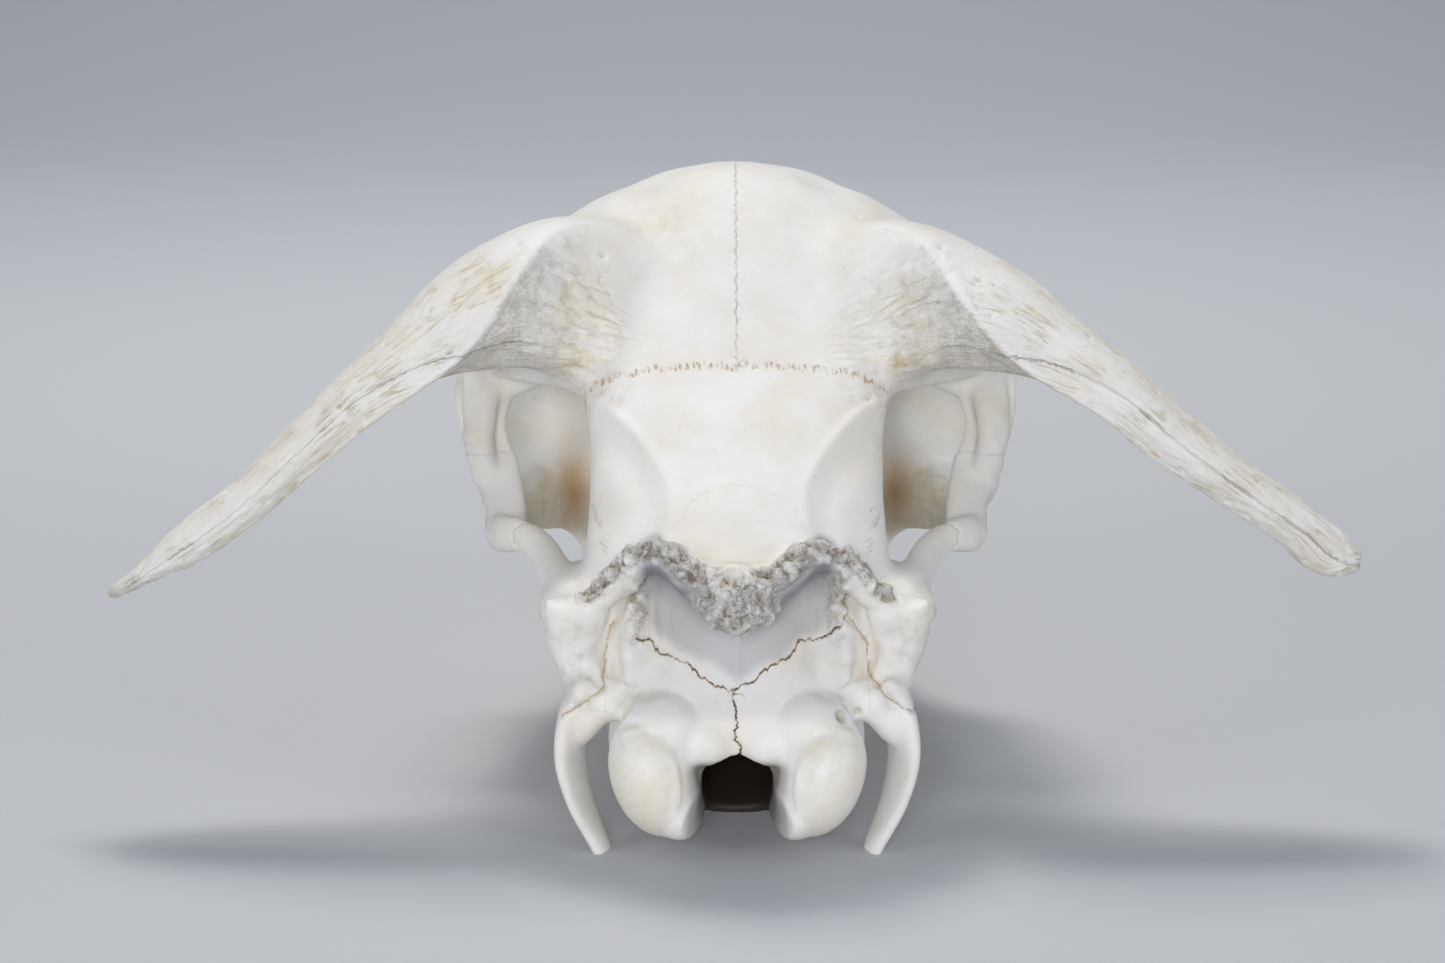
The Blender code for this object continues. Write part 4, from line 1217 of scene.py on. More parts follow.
    def rough_share(self, places: np.ndarray) -> np.ndarray:
        """How much each point belongs to the rough nuchal crest.

        Args:
            places: Points, three a row.

        Returns:
            From 0 to 1 a point.
        """
        p = np.stack([-np.abs(places[:, 0]), places[:, 1], places[:, 2]], 1)
        away, run = near_path(p, resample(self.crest_line, 30)[:, :3])
        flank, _ = near_path(p, resample(self.crest_flank, 14)[:, :3])
        knob = np.linalg.norm((places - self.knob_centre) / (1.2, 1, 0.9), axis=1)
        broad = 2.1 + 1.3 * ramp(run, 6, 16)
        share = np.maximum(np.exp(-((away / broad) ** 4)), 0.75 * np.exp(-((flank / 2.6) ** 4)))
        share = np.maximum(share, np.exp(-((knob / 7.4) ** 6)))
        return share * ramp(p[:, 1], 24, 16)

    def _roughen(self, surface: Surface) -> None:
        """Breaks the crest and the protuberance up into spongy knobs and pits.

        Args:
            surface: The whole surface.
        """
        index = surface.box((-36, -6, 38), (36, 26, 68))
        p = surface.places[index]
        share = self.rough_share(p)
        knob = spot(p, self.knob_centre, 6.5)
        coarse, medium, fine = (lattice_noise(p / apart, seed) for apart, seed in self.crumbs)
        pits = creases(p / 2.3, 54, 3)
        height = 0.9 * coarse + 1.15 * medium + 0.7 * fine - 1.3 * pits + 0.6
        surface.lift(index, share * (height + 0.9 * knob * (0.6 + coarse)))
        surface.write()

    def mark(self, places: np.ndarray, marks: Marks) -> None:
        """Greys the rough crest and the mastoid parts, paints shade onto the squama and fossae below the
        crest, onto the exoccipitals, and into the foramen, the small holes and the inner faces of the
        condyles, and polishes the condyles.

        Args:
            places: The points of one bone, three a row.
            marks: What the finish reads there.
        """
        p = folded(places)
        x, y, z = p.T
        rough = self.rough_share(places)
        marks.add(Mark.GRIME_AND_SHADE, rough * (0.62 - 0.3 * spot(places, self.knob_centre, 5.5)))
        marks.add(Mark.POROUS, 0.85 * rough)
        # Painted shade: the squama and the fossae under the crest are greyed, darkest just below the crest,
        # fading out above the suture and on the rough crest.
        crest = np.array(self.crest_line)[::-1]
        below = np.interp(x, -crest[:, 0], crest[:, 2]) - z
        edge = 33.5 + 0.6 * x + 1.2 * lattice_noise(places / 4.0, 63)
        shade = ramp(x, 20.5, 17) * ramp(z, edge - 1.0, edge + 3.5) * ramp(y, 21, 18)
        shade = shade * ramp(below, -0.5, 2.0) * (1 - 0.85 * rough)
        marks.add(Mark.SHADE, shade * (0.5 + 0.5 * ramp(below, 14, 3)))
        # Painted shade: a light grey over the exoccipitals.
        exoccipital_shade = ramp(x, 26, 20) * ramp(z, 26 + 0.1 * x, 30) * ramp(y, 21, 18) * ramp(below, 0, 3)
        marks.add(Mark.SHADE, 0.2 * exoccipital_shade * (1 - rough))
        blotch = 0.5 + 0.5 * rough_noise(places / 3.0, 3, 61)
        mastoid = ramp(x, 26, 29) * ramp(z, 27, 31) * ramp(z, 49.5, 46) * ramp(y, 26, 21)
        marks.add(Mark.GRIME_AND_SHADE, mastoid * (0.12 + 0.3 * blotch))
        marks.add(Mark.POROUS, 0.12 * mastoid)
        # Painted shade: the small holes are darkened.
        for *mouth, radius, _ in self.holes:
            marks.add(Mark.HOLLOW, 0.85 * spot(places, mouth, 1.1 * radius))
        marks.add(Mark.WARM, 0.6 * spot(places, (13, 9, 40.6), 3.4))
        rim = 0.9 * lattice_noise(places / 2.6, 62)
        condyle = np.linalg.norm((p - (18.2, 4, 17.4)) / (7.4, 9.0, 11.6), axis=1)
        condyle = ramp(condyle + 0.06 * rim, 1.06, 0.96) * ramp(y, 15, 11)
        marks.add(Mark.POLISH, condyle)
        marks.add(Mark.WARM, 0.3 * condyle)
        # Painted shade: the foramen magnum's bore is darkened.
        bore = ramp(np.hypot(x, z - 12 - 0.45 * (y - 10)), 15, 11) * ramp(y, 10, 15)
        marks.add(Mark.HOLLOW, bore * ramp(y, 66, 60) * ramp(z, 2.5, 5))
        # Painted shade: the inner faces of the condyles beside the foramen are darkened.
        lip = ramp(x, 11.4, 9.2) * ramp(z, 20.5, 18) * ramp(y, 3, 6.5) * ramp(y, 40, 30)
        marks.add(Mark.HOLLOW, lip * (0.35 + 0.5 * ramp(y, 6, 13)))


@dataclass
class Face(Part):
    """The snout with its nasal and premaxillary bones, the cheeks and the palate."""

    snout: Table = (
        (62, 96, 20, 17, 30), (74, 108, 19, 15, 32), (86, 118, 19, 17, 30), (96, 122, 21, 21, 24),
        (104, 121, 25, 25, 20), (112, 117, 29, 30, 17), (120, 111, 28, 32, 16), (130, 101, 24, 31.5, 16),
        (140, 93, 20, 30, 16), (150, 86, 17, 27, 16), (160, 78.5, 15, 23.5, 16.5), (170, 71, 13, 18, 18),
        (178, 64, 10.5, 12, 24),
    )
    pterygoid: Table = (
        (-9.5, 62, 26, 9, 1.7), (-10.5, 72, 27, 9, 1.6), (-12, 84, 26, 9, 1.8), (-15, 96, 24, 8, 2.4),
        (-18, 104, 22, 7, 3),
    )
    premaxilla: Table = (
        (-16.5, 160, 22, 5.5, 3.4), (-14.8, 171, 19, 5.5, 3.0), (-12.4, 182, 16, 6.0, 2.4),
        (-10.4, 193, 13, 6.6, 2.1), (-8.9, 201, 10.8, 6.2, 2.0), (-7.6, 207, 9.3, 4.6, 1.7),
    )
    nasal_process: Table = (
        (-12, 193, 15, 5.0, 1.8), (-13.2, 186, 25, 5.4, 1.7), (-13.2, 179, 37, 5.2, 1.7),
        (-12.8, 172, 49, 4.4, 1.8), (-12, 165, 60, 3.2, 1.8),
    )
    nasal: Table = (
        (-7.0, 118, 110, 7, 3.0), (-7.5, 128, 99.8, 8, 3.2), (-8, 140, 90.6, 8.4, 2.7),
        (-7.8, 152, 82, 8.2, 2.4), (-7.2, 164, 73.8, 7.6, 2.2), (-6.4, 176, 66, 6.6, 2.1),
        (-5.4, 186, 59.6, 4.8, 1.9), (-4.6, 192, 55.8, 2.6, 1.6),
    )
    nasal_hollow: Table = (
        (0, 138, 54, 10.5, 24), (0, 155, 51, 11.5, 26), (0, 172, 45, 11.4, 22), (0, 190, 38, 10.5, 19),
        (0, 214, 30, 10.5, 13),
    )
    choana: Table = (
        (0, 56, 22, 6.5, 8), (0, 75, 24, 7.5, 8), (0, 92, 26, 8.5, 8), (0, 104, 28, 7.5, 6),
    )
    dents: Table = (
        (29, 140, 58, 14, -2.0), (27, 150, 36, 7, -0.8), (12.5, 118, 14, 1.2, -2.0),
        (8, 147, 16.5, 1.3, -1.6), (9.5, 140, 16.5, 1.1, -1.2), (45, 117, 64, 1.4, -1.8),
    )
    palate: Table = (
        (0, 92, 12, 13, 4), (0, 120, 12.5, 17.5, 4.5), (0, 145, 12.5, 15.5, 4), (0, 168, 13, 9, 3),
        (0, 184, 12.5, 5, 2),
    )
    knobs: tuple[Knob, ...] = (
        Knob("facial_tuber", (-33.5, 128, 33), (4.5, 11, 6)),
        Knob("brow", (-47, 109, 85), (9.5, 8, 6.5)),
        Knob("lacrimal_wall", (-41, 117, 67), (16, 6.5, 20), (0, 4, 20)),
        Knob("cheek", (-31.5, 120, 51), (8.5, 9, 12), (0, 0, 20)),
    )
    hollow_knobs: tuple[Knob, ...] = (
        Knob("infraorbital", (-25.5, 158, 32), (3.0, 6.5, 2.4), (0, 0, -14)),
        Knob("palatine_slot", (-5.6, 186, 15), (2.2, 13, 9), (0, 0, -2)),
    )

    def add(self, stock: Stock) -> None:
        """Lofts the snout and sweeps the bones round the nose and throat.

        Args:
            stock: What its solids are added to.
        """
        rings = []
        for y, top, half_top, half_low, bottom in resample(self.snout, 90):
            ring = []
            middle, reach = (top + bottom) / 2, (top - bottom) / 2
            for k in range(64):
                a = 2 * math.pi * k / 64
                up = power(math.sin(a), 2 / 2.8)
                share = (up + 1) / 2
                half = half_low + (half_top - half_low) * share**1.15
                ring.append((half * power(math.cos(a), 2 / 2.8), y, middle + reach * up))
            rings.append(ring)
        stock.skin("snout", rings)
        stock.sweep_pair("pterygoid", self.pterygoid, (0, 0, 1))
        stock.sweep_pair("premaxilla", self.premaxilla, (1, 0, -0.15))
        stock.sweep_pair("premaxilla_rise", self.nasal_process, (0, 1, 0.3))
        stock.sweep_pair("nasal_bone", self.nasal, (1, 0, 0.12))
        stock.knobs(self.knobs)

    def carve(self, hollows: Stock) -> None:
        """Hollows the nose, the throat and the palate.

        Args:
            hollows: What the solids to take away are added to.
        """
        hollows.sweep("nasal_hollow", self.nasal_hollow, (1, 0, 0), sides=40)
        hollows.sweep("choana", self.choana, (1, 0, 0), sides=32)
        hollows.sweep("palate_vault", self.palate, (1, 0, 0), sides=32)
        hollows.knobs(self.hollow_knobs)

    def sculpt(self, surface: Surface) -> None:
        """Dents the cheeks, pits the maxillae and opens the small foramina.

        Args:
            surface: The whole surface.
        """
        surface.push(self.dents)
        index = surface.box((-40, 110, 14), (40, 176, 100))
        p = surface.places[index]
        outside = ramp(np.abs(p[:, 0]), 14, 20) * ramp(p[:, 1], 112, 122)
        low = ramp(p[:, 2], 66, 40)
        pitted = 0.12 * low * np.abs(lattice_noise(p / 1.4, 72))
        surface.lift(index, outside * (0.14 * rough_noise(p / 5.0, 3, 71) - pitted))

    def mark(self, places: np.ndarray, marks: Marks) -> None:
        """Shades the depth of the nose and warms the bone over the tooth roots.

        Args:
            places: The points of one bone, three a row.
            marks: What the finish reads there.
        """
        x, y, z = folded(places).T
        # Painted shade: the depth of the nose is darkened.
        inside = ramp(x, 11.5, 9.5) * ramp(y, 172, 150) * ramp(y, 132, 136)
        marks.add(Mark.HOLLOW, inside * ramp(z, 28, 31) * ramp(z, 80, 76))
        roots = ramp(z, 34, 18) * ramp(y, 92, 98) * ramp(y, 172, 160) * ramp(x, 16, 22)
        marks.add(Mark.WARM, 0.6 * roots * (0.5 + 0.5 * rough_noise(places / 5.0, 2, 73)))


@dataclass
class ToothRow:
    """The six cheek teeth of one side, each with its ribs and crescents."""

    side: Side
    teeth: Table = (
        (19.0, 30.0, 11.0, 0.0, 3), (16.5, 31.0, 12.0, 0.0, 2), (14.0, 30.2, 11.5, 0.0, 2),
        (9.2, 28.2, 10.0, 0.3, 1), (8.6, 26.0, 8.8, 0.6, 1), (7.4, 23.6, 7.2, 1.0, 1),
    )
    rear: float = 92.0
    socket: float = 16.5
    gap: float = 0.25

    def build(self) -> list[bpy.types.Object]:
        """Makes every tooth of the row.

        Returns:
            The new objects, rear to front.
        """
        made = []
        start = self.rear
        for number, (length, buccal, width, level, lobes) in enumerate(self.teeth):
            name = f"tooth_{self.side.ending}_{6 - number}"
            made.append(self._tooth(name, start, length, buccal, width, level, int(lobes)))
            start += length
        return made

    def _tooth(
        self, name: str, start: float, length: float, buccal: float, width: float, level: float, lobes: int
    ) -> bpy.types.Object:
        """One tooth, from its sunk root to its worn face.

        Args:
            name: The new object's name.
            start: Where its rear end lies along y.
            length: Its length along the row.
            buccal: How far its outer face is from the middle plane.
            width: Its breadth.
            level: The height of its biting face.
            lobes: How many crescents it has.

        Returns:
            The new object.
        """
        sides, floor_rings = 96, 14
        rows = [(self.socket + 3 - 1.1 * k, 1.0, 1.0) for k in range(18)]
        rows = [row for row in rows if row[0] > level + 0.6] + [(level + 0.35, 0.985, 1.0)]
        rows += [(level, 0.95 - k / floor_rings * 0.95, 0.0) for k in range(floor_rings)]
        rings = []
        for z, share, wall in rows:
            ring = []
            neck = 1 - 0.10 * float(ramp(np.array(z), 9, self.socket + 1))
            for k in range(sides):
                a = 2 * math.pi * k / sides
                across, lengthwise = power(math.cos(a), 2 / 3.0), power(math.sin(a), 2 / 3.4)
                rib = self._rib(lengthwise, lobes, across)
                x = (across * width / 2 + rib * math.copysign(1, across)) * share * neck
                y = lengthwise * (length / 2 - self.gap / 2) * share * (0.96 + 0.04 * neck)
                dip = 0.0 if wall else self._crescent(x / (width / 2), y / (length / 2), lobes)
                out = buccal - width / 2 + x - 0.06 * z
                ring.append((self.side.value * out, start + length / 2 + y, z + dip))
            rings.append(ring)
        obj = settle(name, wrap(rings))
        obj.data.shade_smooth()
        obj.data.set_sharp_from_angle(angle=math.radians(50))
        return obj

    def _rib(self, lengthwise: float, lobes: int, across: float) -> float:
        """How far a rib or fold stands out from the wall, in millimetres.

        Args:
            lengthwise: Place along the tooth, from -1 to 1.
            lobes: How many crescents it has.
            across: Place across it, above 0 toward the cheek.

        Returns:
            Millimetres.
        """
        turn = (lengthwise + 1) / 2 * lobes
        if across > 0:
            return 0.75 * abs(math.cos(math.pi * turn)) ** 6 + 0.3 * abs(math.sin(math.pi * turn)) ** 8
        strength = 1 if 0.1 < turn < lobes - 0.1 else 0.4
        return -1.5 * abs(math.cos(math.pi * turn)) ** 5 * strength * abs(across)

    def _crescent(self, across: float, lengthwise: float, lobes: int) -> float:
        """The relief of the worn face: enamel crescents that stand out round sunk dentine.

        Args:
            across: Place across the tooth, from -1 to 1.
            lengthwise: Place along it, likewise.
            lobes: How many crescents it has.

        Returns:
            Millimetres.
        """
        turn = ((lengthwise + 1) / 2 * lobes) % 1.0
        bow = across + 0.9 * (turn - 0.5) ** 2 * 4 * 0.35 - 0.15
        pit = math.exp(-((bow / 0.13) ** 2)) * math.exp(-(((turn - 0.5) / 0.33) ** 4))
        rim = math.exp(-(((abs(bow) - 0.3) / 0.1) ** 2))
        return max(0.0, 0.25 + 1.2 * pit - 0.25 * rim + 0.35 * math.exp(-(((abs(bow) - 0.58) / 0.16) ** 2)))


@dataclass
class Seams(Part):
    """The saw cuts that part the bones, and the sutures that are seen on them."""

    cuts: tuple[Cut, ...] = (
        Cut(((13, 72), (15.5, 67), (18.5, 60), (20, 52), (21, 44), (21.8, 36), (22.5, 29), (26.6, 29)),
            Across.X, -25.6, 25.6),
        Cut(((26, 29), (47.5, 29), (47.5, -6)), Across.X, -15.2, 15.2),
        Cut(((38, 101), (45, 91.5), (49.5, 85), (56, 74), (61, 64), (61.8, 49.8)), Across.X, -37, 37),
        Cut(((17.5, 50), (62.1, 50)), Across.X, -19.7, 19.7),
        Cut(((57.5, 55), (62, 54), (80, 52), (100, 50.5), (108.3, 50.5)), Across.X, -37, 37),
        Cut(((108, 34), (108, 86.5), (118, 90), (126, 94.5), (130.5, 98), (134, 110)), Across.X, -64, 64),
        Cut(((107.8, 57), (118, 58.5), (127, 65), (132, 77), (130.3, 99.4)), Across.X, -64, 64),
        Cut(((91, -6), (91, 38), (108.2, 38)), Across.X, -46, 46),
        Cut(((129.5, 95.6), (140, 86.6), (152, 78.4), (164, 70.4), (172, 65.2), (178, 61.3), (185, 57)),
            Across.X, -16.5, 16.5),
        Cut(((152, 81), (158, 72), (166, 58), (170, 44), (172, 32), (170.5, 20), (167, 4)), Across.X, -30,
            30),
        Cut(((26, 32), (26.2, 20), (27.5, -6)), Across.X, 15, 46, paired=True),
        Cut(((18.7, 57.5), (20, 57.5), (28, 60.5), (38, 63), (50, 62), (58, 57), (63.5, 50), (67, 42),
            (67, 28.8)), Across.X, 19.4, 46, paired=True),
        Cut(((67.2, 29), (48, 29), (48, -6)), Across.X, 15, 46, paired=True),
        Cut(((26, 29), (48.2, 29)), Across.X, 15, 19.8, paired=True),
        Cut(((5, 57.5), (19.5, 57.5)), Across.X, 25.3, 46, paired=True),
        Cut(((57, 38), (58.5, 62)), Across.X, 40, 58, paired=True),
        Cut(((25.3, 28.8), (32, 29.6), (46, 31.5)), Across.Y, 2, 27, paired=True),
        Cut(((41, 67.5), (66, 67.5)), Across.Y, 64, 91, paired=True),
        Cut(((25.5, 2), (25.5, 22.8)), Across.Z, 28.6, 57.9, paired=True),
        Cut(((25.5, 22), (25.5, 27)), Across.Z, 28.6, 29.3, paired=True),
        Cut(((15.1, 24), (15.1, 48.2)), Across.Z, -6, 29.2, paired=True),
        Cut(((19.6, 18.6), (19.6, 19.9), (19.6, 20.9), (19.6, 21.7), (19.6, 22.4), (19.6, 28), (19.6, 38),
            (19.6, 50), (19.6, 58), (19.6, 63.5), (19.6, 67.2)), Across.Z,
            (57, 52, 44, 36, 28.7, 28.7, 28.7, 28.7, 28.7, 28.7, 28.7),
            (57.8, 57.8, 58, 58.3, 58.6, 60.8, 63.3, 62.3, 57.3, 50.3, 42), paired=True),
        Cut(((15.6, 126), (16.2, 134)), Across.Z, 91, 112, paired=True),
        Cut(((16.2, 133.5), (16.2, 146)), Across.Z, 82, 106, paired=True),
        Cut(((16.2, 145.5), (15.4, 156)), Across.Z, 75, 98, paired=True),
        Cut(((15.5, 155.5), (14, 166)), Across.Z, 68.5, 90, paired=True),
        Cut(((14.1, 165.5), (10.5, 186)), Across.Z, 56.6, 82, paired=True),
        Cut(((38, 94), (38, 108.2)), Across.Z, 36, 58, paired=True),
        Cut(((0, 44), (0, 49.5), (0, 56), (0, 61.5), (0, 80), (0, 100), (0, 134)), Across.Z,
            (92.8, 84.8, 73.7, 53.2, 51.7, 50.3, 50.3), (140, 140, 140, 140, 140, 140, 140)),
        Cut(((0, 107.8), (0, 186)), Across.Z, -6, 110),
        Cut(((0, 90.8), (0, 108.2)), Across.Z, -6, 38.1),
    )
    horn_centre: Row = (0, 85, 75)
    horn_radius: float = 60.5
    horn_aim: Row = (-47, -27, 26)
    horn_spread: float = 29
    sutures: tuple[Suture, ...] = (
        Suture(((0, 44), (0, 119)), Across.Z, 84, 134, (0, 40, 86), wave=0.45, pitch=2.7, depth=0.05,
               stain=0.45),
        Suture(((0, 119), (0, 192)), Across.Z, 52, 112, (0, 100, 112), wave=0.2, pitch=5, stain=0.4,
               depth=0.2),
        Suture(((38, 101), (45, 91.5), (49.5, 85), (53, 79)), Across.X, -33, 33, (-90, 50, 84), wave=0.6,
               pitch=3.4, stain=0.45, comb=0.9, depth=0.03),
        Suture(((-19.7, 43.1), (-16.4, 42.5), (-15.4, 40.0), (-11.6, 39.5), (-8.9, 38.3), (-7.3, 36.3),
               (-4.1, 34.7), (-1.1, 33.4), (0.8, 34.7), (3.5, 35.7), (5.7, 38.1), (9.4, 39.7),
               (10.8, 40.9), (12.1, 42.9), (15.3, 42.8), (18.0, 44.1), (20.1, 45.8), (20.9, 47.5)),
               Across.Y, -2, 20, (-60, 10, 40), wave=0.34, pitch=2.4, depth=0.28, stain=0.9),
        Suture(((-1.1, 33.9), (-0.6, 30.6), (0.0, 27.2), (-0.6, 24.4), (0.5, 22.6), (0.5, 19.0)),
               Across.Y, -2, 20, (0, 9, 60), wave=0.3, pitch=2.8, depth=0.4, stain=1.0),
        Suture(((-23.4, 45.9), (-24.8, 43.7), (-25.6, 40.8), (-26.0, 36.4), (-26.1, 32.9), (-29.4, 30.7),
               (-34.5, 27.6)), Across.Y, 2, 24, (-20, 14, 60), wave=0.2, pitch=4.2, depth=0.5, stain=0.6),
        Suture(((21.0, 47.5), (24.0, 43.1), (25.4, 40.3), (25.7, 35.2), (28.8, 31.8), (32.1, 29.2),
               (36.1, 28.0)), Across.Y, 2, 24, (20, 14, 60), wave=0.2, pitch=4.2, depth=0.5, stain=0.6),
        Suture(((66, 67.5), (41, 67.5)), Across.Y, 64, 91, (30, 75, 68), wave=0.25, pitch=3, depth=0.12,
               stain=0.14, paired=True),
        Suture(((-14, 63), (-11.1, 65.5), (-9.1, 68.5), (-4.9, 71.0), (0.9, 71.8), (7.2, 70.2),
               (11.1, 67.5), (13.6, 63)), Across.Y, 8, 32, (-40, 20, 68), wave=0.35, pitch=2.0,
               depth=0.03, stain=0.1),
        Suture(((28.1, 65), (26.7, 60.2), (25.2, 56.7)), Across.Y, 14, 40, (30, 20, 90), wave=0.8,
               pitch=2.4, depth=0.04, stain=0.25, comb=0.45, paired=True),
        Suture(((108, 60), (108, 86.5), (118, 90), (126, 94.5), (130.5, 98), (134, 110)), Across.X, 14,
               60, (40, 90, 60), wave=0.5, pitch=4, depth=0.15, stain=0.28, paired=True),
        Suture(((115.5, 58), (118, 58.5), (127, 65), (132, 77), (130.3, 99.4)), Across.X, 14, 60,
               (30, 100, 50), wave=0.5, pitch=4.4, depth=0.15, stain=0.28, paired=True),
        Suture(((129.5, 97), (140, 88), (152, 79.8), (164, 71.8), (172, 66.6), (178, 62.7), (185, 58.4)),
               Across.X, 9, 19, (15, 120, 100), wave=0.2, pitch=5, depth=0.35, stain=0.5, paired=True),
        Suture(((152, 81), (158, 72), (166, 58), (170, 44), (172, 32), (170.5, 20), (167, 4)), Across.X,
               8, 30, (20, 150, 90), wave=0.5, pitch=4, depth=0.3, stain=0.5, paired=True),
        Suture(((57, 42), (58.5, 60)), Across.X, 40, 58, (45, 58, 30), wave=0.5, pitch=3.4, depth=0.35,
               stain=0.5, paired=True),
        Suture(((26, 28), (47.5, 29)), Across.X, -12, 12, (0, 20, 10), wave=0.3, pitch=3, depth=0.1,
               stain=0.2),
        Suture(((47.5, 8), (47.5, 28)), Across.X, -15, 15, (-30, 47, 10), wave=0.2, pitch=4, depth=0.4,
               stain=0.6),
        Suture(((0, 92), (0, 170)), Across.Z, 8, 22, (0, 60, 16), wave=0.2, pitch=4, depth=0.3,
               stain=0.5),
        Suture(((118, 20), (118, 6)), Across.X, -19, 19, (-40, 118, 14), wave=0.5, pitch=3.4, depth=0.25,
               stain=0.5),
        Suture(((108, 50), (100, 50.5), (92, 54)), Across.X, 30, 60, (40, 130, 50), wave=0.4, pitch=4,
               depth=0.25, stain=0.22, paired=True),
    )

    def build(self, cuts: Stock) -> None:
        """Makes every saw cut, the round ones at the horns' roots and the floor block.

        Args:
            cuts: What the cutters are added to.
        """
        for number, cut in enumerate(self.cuts):
            cuts.saw(f"cut_{number}", cut)
        for side in Side:
            self._horn_seam(cuts, side)
        self._floor(cuts)

    def groove(self, surface: Surface) -> None:
        """Sinks every suture into the bone."""
        for suture in self.sutures:
            suture.groove(surface)

    def mark(self, places: np.ndarray, marks: Marks) -> None:
        """Gives the finish each point's place beside its nearest suture.

        Args:
            places: The points of one bone, three a row.
            marks: What the finish reads there.
        """
        for suture in self.sutures:
            for side in halves(suture.paired):
                index, away, run = suture.measure(places, side)
                closer = np.abs(away) < np.abs(marks.seam[index, 0])
                index, away, run = index[closer], away[closer], run[closer]
                fall = ramp(np.abs(away), 2.8, 1.2)
                marks.seam[index, 0] = away
                marks.seam[index, 1] = run
                marks.seam[index, 2] = fall * suture.stain
                if suture.comb > 0:
                    marks.grain[index, 2] = -suture.comb * fall

    def _horn_seam(self, cuts: Stock, side: Side) -> None:
        """A thin round shell that parts a horn core from the forehead.

        Args:
            cuts: What the cutter is added to.
            side: The side of the horn core.
        """
        aim = Vector((self.horn_aim[0] * -side.value, self.horn_aim[1], self.horn_aim[2])).normalized()
        across = aim.orthogonal().normalized()
        third = aim.cross(across)
        spread = [math.radians(self.horn_spread) * k / 12 for k in range(13)]
        spread[0] = spread[1] * 0.1
        layers = [(self.horn_radius - SAW_KERF / 2, a) for a in spread]
        layers += [(self.horn_radius + SAW_KERF / 2, a) for a in reversed(spread)]
        rings = []
        for radius, a in layers:
            ring = []
            for k in range(40):
                t = 2 * math.pi * k / 40
                way = aim * math.cos(a) + (across * math.cos(t) + third * math.sin(t)) * math.sin(a)
                ring.append(Vector(self.horn_centre) + way * radius)
            rings.append(ring)
        cuts.skin("horn_seam_" + side.ending, rings)

    def _floor(self, cuts: Stock) -> None:
        """A block whose top is the floor, to flatten what would pass through it.

        Args:
            cuts: What the block is added to.
        """
        bm = bmesh.new()
        bmesh.ops.create_cube(bm, size=1.0)
        size = Matrix.Diagonal(Vector((0.4, 0.5, 0.04))).to_4x4()
        bmesh.ops.transform(bm, matrix=Matrix.Translation((0, 0.1, -0.02)) @ size, verts=bm.verts)
        settle("floor_block", bm, cuts.group)


BONES: tuple[tuple[str, Row], ...] = (
    ("occipital", (0, 18, 30)),
    ("parietal", (0, 38, 70)),
    ("skull_base", (0, 72, 38)),
    ("frontal", (22, 84, 95)),
    ("horn_core", (82, 47, 82)),
    ("temporal", (28, 38, 42)),
    ("zygomatic", (50, 85, 54)),
    ("lacrimal", (25, 118, 76)),
    ("maxilla", (20, 135, 45)),
    ("premaxilla", (11, 184, 25)),
    ("nasal", (7.5, 155, 80)),
)
SMALLEST_BONE = 150.0

LEFT_HORN: Table = (
    (-18, 69, 96, 20, 8, 90, 0.0, 44), (-27, 66.5, 100.7, 20.5, 12.0, 92, 0.04, 44),
    (-38, 63, 102.7, 18.6, 13.4, 112, 0.12, 42), (-47, 59.5, 101.8, 16, 12.3, 145, 0.18, 34),
    (-57, 55, 98.2, 14, 10.0, 178, 0.22, 22), (-66, 51, 92.8, 12.5, 7.3, 205, 0.22, 10),
    (-76, 47, 85.7, 12, 6.0, 225, 0.16, 2), (-88, 43, 75.0, 11, 5.2, 235, 0.10, 0),
    (-100, 39, 64.1, 9.6, 4.6, 240, 0.06, 0), (-112, 36, 55.7, 7.6, 4.1, 240, 0.03, 0),
    (-120, 34, 50.3, 5.2, 2.1, 240, 0.0, 0), (-126.4, 33, 46.4, 2.0, 1.2, 240, 0.0, 0),
)
RIGHT_HORN: Table = (
    (-18, 69, 96, 20, 8, 90, 0.0, 44), (-27, 66.5, 100.4, 20.5, 11.9, 92, 0.04, 44),
    (-38, 63, 101.9, 18.6, 12.1, 112, 0.12, 42), (-47, 59.5, 100.9, 16, 10.6, 145, 0.18, 34),
    (-57, 55, 97.8, 14, 9.7, 178, 0.22, 22), (-66, 51, 93.3, 12.5, 7.6, 205, 0.22, 10),
    (-76, 47, 87.3, 12, 6.3, 225, 0.16, 2), (-88, 43, 77.5, 11, 5.9, 235, 0.10, 0),
    (-100, 39, 68.8, 9.6, 5.1, 240, 0.06, 0), (-112, 36, 60.8, 8.0, 4.8, 240, 0.03, 0),
    (-120, 34, 54.7, 6.6, 4.8, 240, 0.0, 0), (-125, 33, 53.4, 4.2, 2.2, 240, 0.0, 0),
)
LEFT_CHIPS: Table = (
    (-114.4, 34, 51.2, 1.4, 1.3), (-81.6, 38, 73.8, 1.2, 0.8), (-86.8, 37, 70.0, 1.4, 0.9),
    (-91.9, 36, 65.8, 1.2, 0.8),
)
RIGHT_CHIPS: Table = (
    (89.2, 36, 71.0, 1.3, 0.9), (94.0, 35, 68.4, 1.2, 0.8), (120.5, 31, 53.8, 1.2, 1.6),
    (95.3, 33, 69.6, 0.9, 0.7), (99.0, 33, 67.2, 0.9, 0.7), (102.7, 33, 64.9, 0.9, 0.7),
)


def apply_modifiers(obj: bpy.types.Object) -> None:
    """Keeps what the modifiers make and drops them.

    Args:
        obj: The object.
    """
    graph = bpy.context.evaluated_depsgraph_get()
    mesh = bpy.data.meshes.new_from_object(obj.evaluated_get(graph))
    obj.modifiers.clear()
    old = obj.data
    obj.data = mesh
    bpy.data.meshes.remove(old)


